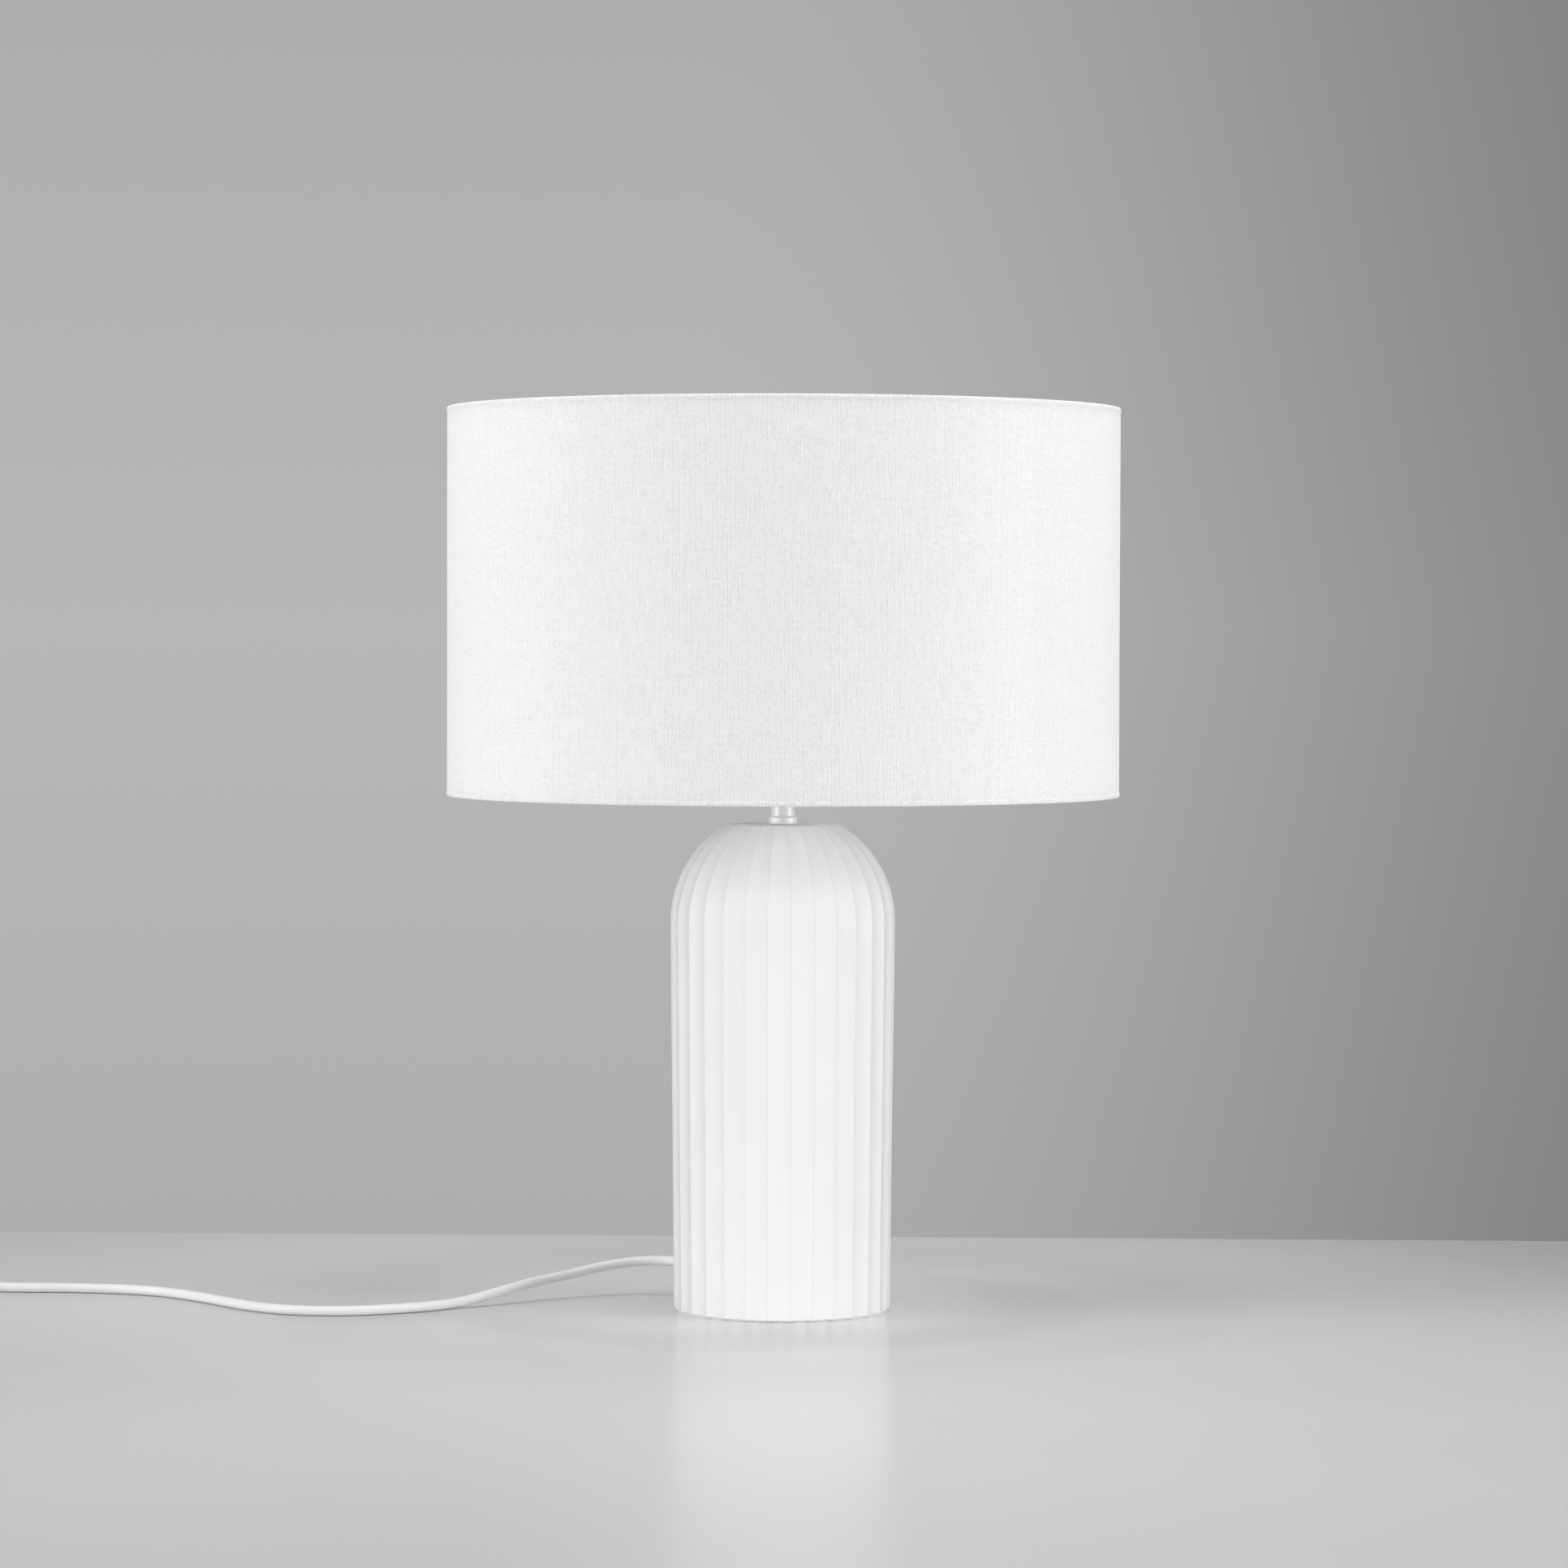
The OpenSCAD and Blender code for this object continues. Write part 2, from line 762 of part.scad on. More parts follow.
// Flat two-pin plug, narrow where the lead enters and wide at the pins
module plug_body() {
  color("white")
  at_plug() difference() {
    union() {
      rotate([0, 90, 0]) cylinder(h = 16, r1 = 4.2, r2 = 5.8);
      translate([13, 0, -6.8]) intersection() {
        linear_extrude(13.6) polygon([
          [0, -5], [4, -8.5], [18, -14], [22, -15.5], [22, 15.5], [18, 14], [4, 8.5], [0, 5]
        ]);
        translate([-40, 0, 6.8]) rotate([0, 90, 0]) cylinder(h = 80, r = 17);
      }
    }
    translate([-1, 0, 0]) rotate([0, 90, 0]) cylinder(h = 13, r = lead_r + 0.05);
    for (s = [-1, 1]) translate([24.9, pin_y * s, 0]) rotate([0, 90, 0])
      cylinder(h = 12, r = sleeve_r + 0.04);
  }
}

module plug_pins() {
  color("silver")
  at_plug() for (s = [-1, 1]) {
    translate([25, pin_y * s, 0]) rotate([0, 90, 0]) cylinder(h = 20, r = 1.4);
    translate([44, pin_y * s, 0]) rotate([0, 90, 0]) cylinder(h = 8, r = 2);
    translate([52, pin_y * s, 0]) sphere(r = 2);
  }
}

module plug_sleeves() {
  color("dimgray")
  at_plug() for (s = [-1, 1]) translate([25, pin_y * s, 0]) rotate([0, 90, 0]) difference() {
    cylinder(h = 19, r = sleeve_r);
    translate([0, 0, -1]) cylinder(h = 22, r = 1.4);
  }
}

base_body();
felt_pad();
foot_plate();
iron_weight();
weight_bolt();
top_cap();
clamp_washer();
lock_washer();
clamp_nut();
threaded_pipe();
neck_collar();
stem_tube();
lead_bushing();
bushing_nut();
inner_lead();
holder_cap();
cap_grub_screw();
holder_insert();
centre_contact();
screw_contact();
terminal_screws();
holder_wires();
holder_shell();
lower_shade_nut();
upper_shade_nut();
shade_spider();
bottom_wire();
top_wire();
shade_liner();
shade_fabric();
bottom_hem();
top_hem();
bulb_glass();
bulb_housing();
bulb_screw_cap();
bulb_insulator();
bulb_tip();
switch_base();
switch_cover();
switch_rocker();
switch_screws();
switch_contacts();
lead_run();
lead_link();
lead_coil();
lead_tail();
coil_tie();
plug_body();
plug_pins();
plug_sleeves();
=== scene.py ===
import json
import math

import bmesh
import bpy
from mathutils import Matrix, Quaternion, Vector, noise


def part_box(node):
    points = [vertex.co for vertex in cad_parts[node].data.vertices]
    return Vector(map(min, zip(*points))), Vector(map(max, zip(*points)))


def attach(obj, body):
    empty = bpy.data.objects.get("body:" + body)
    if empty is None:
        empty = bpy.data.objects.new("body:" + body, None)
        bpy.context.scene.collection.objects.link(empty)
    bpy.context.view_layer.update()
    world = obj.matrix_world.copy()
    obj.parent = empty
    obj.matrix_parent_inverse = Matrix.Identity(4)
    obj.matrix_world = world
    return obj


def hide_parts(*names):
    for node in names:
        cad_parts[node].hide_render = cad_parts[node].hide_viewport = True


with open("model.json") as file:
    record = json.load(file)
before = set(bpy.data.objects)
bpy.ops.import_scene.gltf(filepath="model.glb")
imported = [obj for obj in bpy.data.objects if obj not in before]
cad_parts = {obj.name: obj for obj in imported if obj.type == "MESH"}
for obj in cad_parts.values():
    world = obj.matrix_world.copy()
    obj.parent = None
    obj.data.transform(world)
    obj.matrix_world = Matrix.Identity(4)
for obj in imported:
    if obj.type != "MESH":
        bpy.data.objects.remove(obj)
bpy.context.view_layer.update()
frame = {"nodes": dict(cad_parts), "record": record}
nodes = frame["nodes"]

MM = 0.001


def cad_radius(node, low=-1.0, high=9.0):
    """Largest distance from the lamp's axis of a CAD node's points between two heights."""
    points = [v.co for v in nodes[node].data.vertices if low < v.co.z < high]
    return max(math.hypot(p.x, p.y) for p in points)


# ---------- camera ----------

# Fitted together with the lamp's sizes to edges measured in the photograph
CAMERA_DISTANCE = 3.073
CAMERA_HEIGHT = 0.4055
CAMERA_PITCH = math.radians(1.708)
CAMERA_TURN = math.radians(0.011)
CAMERA_ROLL = math.radians(0.147)
CAMERA_LENS = 118.52

camera_data = bpy.data.cameras.new("camera")
camera_data.lens = CAMERA_LENS
camera_data.sensor_width = 36
camera_data.clip_end = 60
camera = bpy.data.objects.new("camera", camera_data)
camera.location = (0, -CAMERA_DISTANCE, CAMERA_HEIGHT)
camera.rotation_mode = "QUATERNION"
looking = Vector((math.sin(CAMERA_TURN), math.cos(CAMERA_PITCH), -math.sin(CAMERA_PITCH)))
camera.rotation_quaternion = looking.to_track_quat("-Z", "Y") @ Quaternion((0, 0, 1), CAMERA_ROLL)
bpy.context.scene.collection.objects.link(camera)
bpy.context.scene.camera = camera
bpy.context.scene.view_settings.view_transform = "Standard"

# ---------- lead ----------

LEAD_R = 3 * MM
EXIT_TURN = math.radians(136)
EXIT_HEIGHT = 21 * MM
BOOT_TIP = 78.5 * MM + 2 * MM
OUTWARD = Vector((math.cos(EXIT_TURN), math.sin(EXIT_TURN), 0))
EXIT = OUTWARD * BOOT_TIP + Vector((0, 0, EXIT_HEIGHT))

# From the boot along the table to the switch
RUN = [
    (-0.071, 0.064, 0.021), (-0.086, 0.066, 0.0205), (-0.102, 0.062, 0.019),
    (-0.118, 0.054, 0.0165), (-0.133, 0.044, 0.014), (-0.148, 0.034, 0.012),
    (-0.163, 0.022, 0.0092), (-0.178, 0.0105, 0.0062), (-0.192, 0.0, 0.0038),
    (-0.206, -0.0105, 0.003), (-0.222, -0.0215, 0.003), (-0.239, -0.030, 0.003),
    (-0.257, -0.0355, 0.003), (-0.275, -0.0355, 0.003), (-0.292, -0.031, 0.003),
    (-0.307, -0.022, 0.003), (-0.320, -0.010, 0.003), (-0.332, 0.004, 0.003),
    (-0.344, 0.0185, 0.003), (-0.357, 0.033, 0.003), (-0.371, 0.046, 0.003),
    (-0.387, 0.056, 0.003), (-0.405, 0.0625, 0.003), (-0.424, 0.0665, 0.003),
    (-0.443, 0.069, 0.003), (-0.462, 0.069, 0.003), (-0.477, 0.069, 0.0034),
    (-0.490, 0.069, 0.0055), (-0.505, 0.069, 0.008),
]
# Through the switch, under its rocker
THROUGH_SWITCH = [(-0.521, 0.069, 0.0062), (-0.551, 0.069, 0.0062)]
# From the switch to the coil, and from the coil to the plug
LINK = [(-0.567, 0.069, 0.008), (-0.582, 0.069, 0.006), (-0.597, 0.069, 0.004)]
TAIL = [(-0.597, -0.009, 0.010), (-0.559, -0.01564, 0.0068), (-0.5505, -0.01873, 0.0068)]

COIL_CENTRE = Vector((-0.603, 0.030, 0))
COIL_TURNS = 5.5
POINTS_A_TURN = 16
# Radius and height of each turn's place in the coil, in the order that the lead takes them
COIL_PLACES = [(39, 4), (33, 4), (27, 4), (27, 10), (33, 10), (39, 10)]
CLIMB_TURN = 2


def coil_point(turns):
    """The lead's place after so many turns. It changes place over the second half of each turn."""
    whole = min(int(turns), len(COIL_PLACES) - 1)
    share = max(0.0, (turns - whole) * 2 - 1)
    ease = share * share * (3 - 2 * share)
    here = COIL_PLACES[whole]
    there = COIL_PLACES[min(whole + 1, len(COIL_PLACES) - 1)]
    radius = here[0] + (there[0] - here[0]) * ease
    height = here[1] + (there[1] - here[1]) * ease
    if whole == CLIMB_TURN:
        radius -= 2.2 * math.sin(math.pi * ease)
    angle = math.pi / 2 + 2 * math.pi * turns
    around = Vector((math.cos(angle), math.sin(angle), 0))
    return COIL_CENTRE + around * radius * MM + Vector((0, 0, height * MM))


coil_steps = int(COIL_TURNS * POINTS_A_TURN)
coil = [coil_point(i / POINTS_A_TURN) for i in range(coil_steps + 1)]
inside_boot = EXIT - OUTWARD * 6 * MM
lead_points = [inside_boot, EXIT] + RUN + THROUGH_SWITCH + LINK + coil + TAIL


def lead_curve(name, points):
    data = bpy.data.curves.new(name, "CURVE")
    data.dimensions = "3D"
    data.bevel_depth = LEAD_R
    data.bevel_resolution = 5
    data.resolution_u = 6
    data.use_fill_caps = True
    spline = data.splines.new("BEZIER")
    spline.bezier_points.add(len(points) - 1)
    for knot, place in zip(spline.bezier_points, points):
        knot.co = place
        knot.handle_left_type = knot.handle_right_type = "AUTO"
    obj = bpy.data.objects.new(name, data)
    bpy.context.scene.collection.objects.link(obj)
    return obj


lead = lead_curve("mains_lead", lead_points)

# ---------- mesh helpers ----------


def mesh_object(name, vertices, faces, sharp=38):
    """A closed mesh, smooth apart from edges sharper than an angle in degrees."""
    mesh = bpy.data.meshes.new(name)
    mesh.from_pydata([tuple(v) for v in vertices], [], faces)
    work = bmesh.new()
    work.from_mesh(mesh)
    bmesh.ops.remove_doubles(work, verts=work.verts, dist=1e-7)
    bmesh.ops.recalc_face_normals(work, faces=work.faces)
    work.to_mesh(mesh)
    work.free()
    mesh.shade_smooth()
    mesh.set_sharp_from_angle(angle=math.radians(sharp))
    obj = bpy.data.objects.new(name, mesh)
    bpy.context.scene.collection.objects.link(obj)
    return obj


def loft(name, rings, join_ends=False, sharp=38):
    """A mesh through rings of equally many points. Its ends are closed, or joined to each other."""
    n = len(rings[0])
    vertices = [p for ring in rings for p in ring]
    faces = []
    for i in range(len(rings) if join_ends else len(rings) - 1):
        a, b = i * n, (i + 1) % len(rings) * n
        for k in range(n):
            after = (k + 1) % n
            faces.append((a + k, a + after, b + after, b + k))
    if not join_ends:
        faces.append(tuple(reversed(range(n))))
        faces.append(tuple(range(len(vertices) - n, len(vertices))))
    return mesh_object(name, vertices, faces, sharp)


def rounded(outline, radius, steps=4):
    """A closed outline of 2-D points with each corner turned into a curve."""
    result = []
    for i, corner in enumerate(outline):
        before, after = Vector(outline[i - 1]), Vector(outline[(i + 1) % len(outline)])
        corner = Vector(corner)
        reach = min(radius, (before - corner).length * 0.45, (after - corner).length * 0.45)
        start = corner + (before - corner).normalized() * reach
        end = corner + (after - corner).normalized() * reach
        for k in range(steps + 1):
            t = k / steps
            result.append(start * (1 - t) ** 2 + corner * 2 * t * (1 - t) + end * t * t)
    return result


def no_swell(r, z, angle):
    return 0.0


def lathe(name, outline, columns=96, swell=no_swell, place=None, sharp=38):
    """A closed outline of (radius, height) turned round Z, with swell(r, z, angle) added to its radius."""
    place = place or Matrix.Identity(4)
    rings = []
    for r, z in outline:
        ring = []
        for k in range(columns):
            angle = 2 * math.pi * k / columns
            reach = r + swell(r, z, angle)
            ring.append(place @ Vector((reach * math.cos(angle), reach * math.sin(angle), z)))
        rings.append(ring)
    return loft(name, rings, join_ends=True, sharp=sharp)


def apply_modifiers(obj):
    graph = bpy.context.evaluated_depsgraph_get()
    mesh = bpy.data.meshes.new_from_object(obj.evaluated_get(graph))
    obj.modifiers.clear()
    obj.data = mesh
    return obj


def cut(obj, cutters, sharp=38):
    """Takes the cutters out of a mesh, and removes them."""
    for cutter in cutters:
        modifier = obj.modifiers.new("cut", "BOOLEAN")
        modifier.object = cutter
        modifier.operation = "DIFFERENCE"
        modifier.solver = "EXACT"
    apply_modifiers(obj)
    for cutter in cutters:
        bpy.data.objects.remove(cutter)
    obj.data.shade_smooth()
    obj.data.set_sharp_from_angle(angle=math.radians(sharp))
    return obj


def cylinder_between(name, start, end, radius, columns=48):
    start, end = Vector(start), Vector(end)
    turn = (end - start).to_track_quat("Z", "Y").to_matrix().to_4x4()
    rings = []
    for base in (start, end):
        spot = Matrix.Translation(base) @ turn
        rings.append([
            spot @ Vector((
                radius * math.cos(2 * math.pi * k / columns),
                radius * math.sin(2 * math.pi * k / columns),
                0,
            ))
            for k in range(columns)
        ])
    return loft(name, rings)


# ---------- materials ----------


class Finish:
    """A material under construction: its Principled shader and short ways to add nodes."""

    def __init__(self, name, color, roughness, metallic=0.0):
        self.material = bpy.data.materials.new(name)
        self.material.use_nodes = True
        self.tree = self.material.node_tree
        self.shader = self.tree.nodes["Principled BSDF"]
        self.shader.inputs["Base Color"].default_value = (*color, 1)
        self.shader.inputs["Roughness"].default_value = roughness
        self.shader.inputs["Metallic"].default_value = metallic
        self.color = color
        self.roughness = roughness

    def add(self, kind, settings=None, **inputs):
        """A new node. Inputs are given by name, with _ for a space, as values or as sockets."""
        made = self.tree.nodes.new(kind)
        for key, value in (settings or {}).items():
            setattr(made, key, value)
        for key, value in inputs.items():
            self.put(made.inputs[key.replace("_", " ")], value)
        return made

    def put(self, socket, value):
        if isinstance(value, bpy.types.NodeSocket):
            self.tree.links.new(value, socket)
        else:
            socket.default_value = value

    def math(self, operation, a, b=0.0, c=0.0):
        made = self.tree.nodes.new("ShaderNodeMath")
        made.operation = operation
        for socket, value in zip(made.inputs, (a, b, c)):
            self.put(socket, value)
        return made.outputs[0]

    def here(self):
        return self.add("ShaderNodeTexCoord").outputs["Object"]

    def stretched(self, x=1.0, y=1.0, z=1.0, source=None):
        """The place in the piece, scaled along each axis."""
        made = self.tree.nodes.new("ShaderNodeVectorMath")
        made.operation = "MULTIPLY"
        self.put(made.inputs[0], source or self.here())
        made.inputs[1].default_value = (x, y, z)
        return made.outputs[0]

    def noise(self, scale, detail=2.0, place=None, roughness=0.5):
        made = self.add("ShaderNodeTexNoise", Scale=scale, Detail=detail, Roughness=roughness)
        self.put(made.inputs["Vector"], place or self.here())
        return made.outputs["Fac"]

    def spread(self, fac, low, high):
        """Maps the middle of a 0 to 1 value onto low to high, clamped."""
        made = self.add("ShaderNodeMapRange")
        self.put(made.inputs["Value"], fac)
        made.inputs["From Min"].default_value = 0.3
        made.inputs["From Max"].default_value = 0.7
        made.inputs["To Min"].default_value = low
        made.inputs["To Max"].default_value = high
        return made.outputs["Result"]

    def shade(self, factor):
        """The base colour times a factor that varies over the surface."""
        made = self.tree.nodes.new("ShaderNodeVectorMath")
        made.operation = "SCALE"
        made.inputs[0].default_value = self.color
        self.put(made.inputs["Scale"], factor)
        self.put(self.shader.inputs["Base Color"], made.outputs[0])
        return self

    def rough(self, fac, low, high):
        self.put(self.shader.inputs["Roughness"], self.spread(fac, low, high))
        return self

    def bump(self, height, distance, strength=1.0):
        """Adds a relief of so many metres on top of what is there."""
        made = self.add("ShaderNodeBump", Strength=strength, Distance=distance, Height=height)
        if self.shader.inputs["Normal"].is_linked:
            self.put(made.inputs["Normal"], self.shader.inputs["Normal"].links[0].from_socket)
        self.put(self.shader.inputs["Normal"], made.outputs["Normal"])
        return self

    def set(self, **inputs):
        for key, value in inputs.items():
            self.shader.inputs[key.replace("_", " ")].default_value = value
        return self

    def let_through(self, share):
        """Lets a share of the light through, spread out as a thin sheet does."""
        behind = self.add("ShaderNodeBsdfTranslucent", Color=(*self.color, 1))
        mix = self.add("ShaderNodeMixShader", Fac=share)
        self.put(mix.inputs[1], self.shader.outputs[0])
        self.put(mix.inputs[2], behind.outputs[0])
        self.put(self.tree.nodes["Material Output"].inputs["Surface"], mix.outputs[0])
        return self


def stoneware():
    """Matt white glaze, painted a little grey along the ridges as painted shade, with fine grain and a few
    iron specks.
    """
    f = Finish("stoneware_glaze", (0.735, 0.734, 0.73), 0.5)
    cloud = f.spread(f.noise(22, 3), 0.985, 1.01)
    ridge = f.add("ShaderNodeAttribute", {"attribute_name": "ridge"}).outputs["Fac"]
    # Painted shade: the colour is made up to a tenth darker at the ridges.
    ridge_painted_shade = f.math("MULTIPLY_ADD", ridge, -0.1, 1.0)
    cells = f.add("ShaderNodeTexVoronoi", Scale=70.0, Vector=f.here())
    spot = f.math("LESS_THAN", cells.outputs["Distance"], 0.022)
    channel = f.add("ShaderNodeSeparateColor", Color=cells.outputs["Color"]).outputs[0]
    rare = f.math("LESS_THAN", channel, 0.16)
    speck = f.math("MULTIPLY_ADD", f.math("MULTIPLY", spot, rare), -0.35, 1.0)
    f.shade(f.math("MULTIPLY", f.math("MULTIPLY", cloud, ridge_painted_shade), speck))
    f.rough(f.noise(60, 2), 0.42, 0.58)
    f.bump(f.noise(230, 2), 0.00012, 0.5)
    f.bump(f.noise(1500, 2), 0.00003, 0.5)
    f.set(Specular_IOR_Level=0.4)
    return f.material


def woven(name, color, pitch, streak, sheen=0.25):
    """A plain weave round the lamp's axis: upright yarns of uneven thickness, crossed by fine ones."""
    f = Finish(name, color, 0.9)
    split = f.add("ShaderNodeSeparateXYZ", Vector=f.here())
    x, y, z = split.outputs
    turn = f.math("ARCTAN2", f.math("MULTIPLY", x, -1.0), f.math("MULTIPLY", y, -1.0))
    along = f.math("MULTIPLY", turn, cad_radius("shade_fabric"))
    flat = f.add("ShaderNodeCombineXYZ", X=along, Y=z).outputs[0]
    wander = f.noise(1.0, 2, f.stretched(60, 60, 1, flat))
    moved = f.math("MULTIPLY_ADD", wander, pitch * 0.7, along)
    warp = f.math("SINE", f.math("MULTIPLY", moved, 2 * math.pi / pitch))
    weft = f.math("SINE", f.math("MULTIPLY", z, 2 * math.pi / (pitch * 0.8)))
    over = f.math("MULTIPLY", warp, weft)
    yarn = f.noise(1.0, 2, f.stretched(0.9 / pitch, 0.09 / pitch, 1, flat))
    pick = f.noise(1.0, 2, f.stretched(0.03 / pitch, 1.1 / pitch, 1, flat))
    fleck = f.noise(1.0, 1, f.stretched(0.9 / pitch, 0.5 / pitch, 1, flat))
    relief = f.math("MULTIPLY_ADD", warp, 0.30, 0.5)
    relief = f.math("MULTIPLY_ADD", over, 0.16, relief)
    relief = f.math("MULTIPLY_ADD", f.math("SUBTRACT", yarn, 0.5), 1.1, relief)
    relief = f.math("MULTIPLY_ADD", f.math("SUBTRACT", pick, 0.5), 0.35, relief)
    tone = f.math("MULTIPLY_ADD", warp, streak, 1.0)
    tone = f.math("MULTIPLY_ADD", f.math("SUBTRACT", yarn, 0.5), streak * 1.1, tone)
    tone = f.math("MULTIPLY_ADD", f.math("SUBTRACT", pick, 0.5), streak * 0.6, tone)
    tone = f.math("MULTIPLY_ADD", f.math("SUBTRACT", fleck, 0.5), streak * 1.9, tone)
    f.shade(tone)
    f.bump(relief, pitch * 0.16, 0.55)
    f.set(Specular_IOR_Level=0.15, Sheen_Weight=sheen, Sheen_Roughness=0.6)
    f.let_through(0.34)
    return f.material


def moulded(name, color, roughness, grain=900.0, depth=0.00002):
    """Moulded plastic: a fine spark-eroded grain and slow changes of gloss."""
    f = Finish(name, color, roughness)
    f.shade(f.spread(f.noise(35, 2), 0.985, 1.01))
    f.rough(f.noise(80, 3), roughness * 0.85, roughness * 1.15)
    f.bump(f.noise(grain, 2), depth, 0.6)
    return f.material


def flex_cover(name, color):
    """Soft lead cover: satin, with faint waves along it and a little handling dirt."""
    f = Finish(name, color, 0.45)
    f.shade(f.spread(f.noise(18, 3), 0.965, 1.01))
    f.rough(f.noise(45, 3), 0.38, 0.52)
    f.bump(f.noise(160, 1), 0.0001, 0.4)
    f.bump(f.noise(1800, 1), 0.00002, 0.4)
    return f.material


def spun(name, color, roughness):
    """Pale turned metal, only partly metallic to match the photograph, with rings round the lamp's axis."""
    f = Finish(name, color, roughness, 0.3)
    split = f.add("ShaderNodeSeparateXYZ", Vector=f.here())
    x, y, z = split.outputs
    reach = f.math("SQRT", f.math("ADD", f.math("MULTIPLY", x, x), f.math("MULTIPLY", y, y)))
    rings = f.add("ShaderNodeCombineXYZ", X=f.math("MULTIPLY", reach, 2600.0),
                  Y=f.math("MULTIPLY", z, 2600.0)).outputs[0]
    grain = f.noise(1.0, 3, rings)
    wear = f.noise(120, 3)
    f.shade(f.math("MULTIPLY", f.spread(grain, 0.94, 1.03), f.spread(wear, 0.97, 1.01)))
    f.rough(grain, roughness * 0.8, roughness * 1.3)
    f.bump(grain, 0.00002, 0.5)
    f.set(Anisotropic=0.5)
    return f.material


def plated(name, color, roughness):
    f = Finish(name, color, roughness, 1.0)
    f.shade(f.spread(f.noise(150, 4), 0.9, 1.03))
    f.rough(f.noise(400, 3), roughness * 0.7, roughness * 1.4)
    f.bump(f.noise(700, 3), 0.00003, 0.5)
    return f.material


def cast_iron():
    f = Finish("cast_iron", (0.16, 0.16, 0.16), 0.75, 0.6)
    f.shade(f.spread(f.noise(300, 4), 0.7, 1.2))
    f.bump(f.noise(500, 5), 0.0004, 0.8)
    return f.material


def felt():
    """Pressed wool: short fibres in every direction."""
    f = Finish("wool_felt", (0.66, 0.66, 0.65), 0.97)
    f.shade(f.spread(f.noise(1800, 5), 0.75, 1.2))
    f.bump(f.noise(2500, 4), 0.00025, 0.9)
    f.set(Sheen_Weight=0.4, Specular_IOR_Level=0.1)
    return f.material


def powder_coat():
    """White powder coat: satin with a fine orange peel."""
    f = Finish("white_powder_coat", (0.86, 0.86, 0.85), 0.38)
    f.shade(f.spread(f.noise(60, 2), 0.985, 1.01))
    f.rough(f.noise(300, 2), 0.32, 0.44)
    f.bump(f.noise(850, 1), 0.00004, 0.6)
    return f.material


def styrene():
    """White lining film: half-matt, faintly pebbled."""
    f = Finish("white_styrene", (0.95, 0.95, 0.94), 0.42)
    f.shade(f.spread(f.noise(14, 3), 0.98, 1.01))
    f.rough(f.noise(50, 2), 0.36, 0.5)
    f.bump(f.noise(700, 2), 0.00003, 0.5)
    f.set(Specular_IOR_Level=0.35)
    f.let_through(0.55)
    return f.material


def porcelain():
    f = Finish("glazed_porcelain", (0.85, 0.84, 0.8), 0.22)
    f.shade(f.spread(f.noise(90, 3), 0.97, 1.01))
    f.rough(f.noise(200, 2), 0.18, 0.3)
    f.bump(f.noise(400, 2), 0.00005, 0.4)
    return f.material


def opal_glass():
    """White glass with a clear gloss over a milky body."""
    f = Finish("opal_glass", (0.9, 0.9, 0.885), 0.3)
    f.shade(f.spread(f.noise(30, 2), 0.99, 1.005))
    f.rough(f.noise(120, 2), 0.26, 0.36)
    f.bump(f.noise(90, 1), 0.00006, 0.3)
    f.set(Coat_Weight=0.6, Coat_Roughness=0.06)
    return f.material


def strap_cloth():
    """Hook-and-loop strap: a dense pile of tiny loops."""
    f = Finish("strap_pile", (0.78, 0.78, 0.77), 0.95)
    f.shade(f.spread(f.noise(1400, 4), 0.82, 1.06))
    f.bump(f.noise(1700, 3), 0.0002, 0.9)
    f.set(Sheen_Weight=0.5, Specular_IOR_Level=0.1)
    return f.material


finishes = {
    "ceramic": stoneware(),
    "felt": felt(),
    "zinc_steel": plated("zinc_plate", (0.62, 0.63, 0.64), 0.35),
    "iron": cast_iron(),
    "neck_metal": spun("satin_nickel", (0.98, 0.98, 0.975), 0.42),
    "brass": plated("brass", (0.78, 0.62, 0.32), 0.3),
    "lead_cover": flex_cover("lead_cover", (0.71, 0.71, 0.705)),
    "holder_plastic": moulded("holder_plastic", (0.86, 0.86, 0.85), 0.4),
    "porcelain": porcelain(),
    "wire_cover": moulded("wire_cover", (0.3, 0.18, 0.12), 0.5),
    "white_wire": powder_coat(),
    "liner": styrene(),
    "shade_cloth": woven("shade_linen", (0.96, 0.958, 0.952), 1.1 * MM, 0.2),
    "hem_cloth": woven("hem_linen", (0.955, 0.953, 0.947), 1.1 * MM, 0.2),
    "opal_glass": opal_glass(),
    "bulb_plastic": moulded("bulb_plastic", (0.88, 0.88, 0.87), 0.42),
    "nickel": plated("nickel", (0.74, 0.73, 0.72), 0.2),
    "black_plastic": moulded("black_plastic", (0.04, 0.04, 0.04), 0.4),
    "switch_plastic": moulded("switch_plastic", (0.87, 0.87, 0.86), 0.25, 500.0, 0.00001),
    "plug_plastic": moulded("plug_plastic", (0.86, 0.86, 0.85), 0.45),
    "tie_strap": strap_cloth(),
}

slot_of = {s["node"]: s["material_slot"] for s in frame["record"]["subparts"]}
for node_name, node in nodes.items():
    node.data.materials.clear()
    node.data.materials.append(finishes[slot_of[node_name]])


def body_of(node_name):
    for body, members in frame["record"]["behaviour"]["bodies"].items():
        if node_name in members:
            return body


def stand_for(piece, *node_names):
    """Gives a new piece the finish and body of the CAD nodes that it stands for, and hides those nodes."""
    slot = slot_of[node_names[0]]
    piece.data.materials.clear()
    piece.data.materials.append(finishes[slot])
    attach(piece, body_of(node_names[0]))
    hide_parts(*node_names)
    return piece


# ---------- ceramic base ----------

FLUTES = 30
FLUTE_DEPTH = 1.5 * MM
FLUTE_TURN = math.radians(4.3)
STEPS_A_FLUTE = 20
RIDGE_ROUND = 0.016
DOME_CUT = math.radians(60)

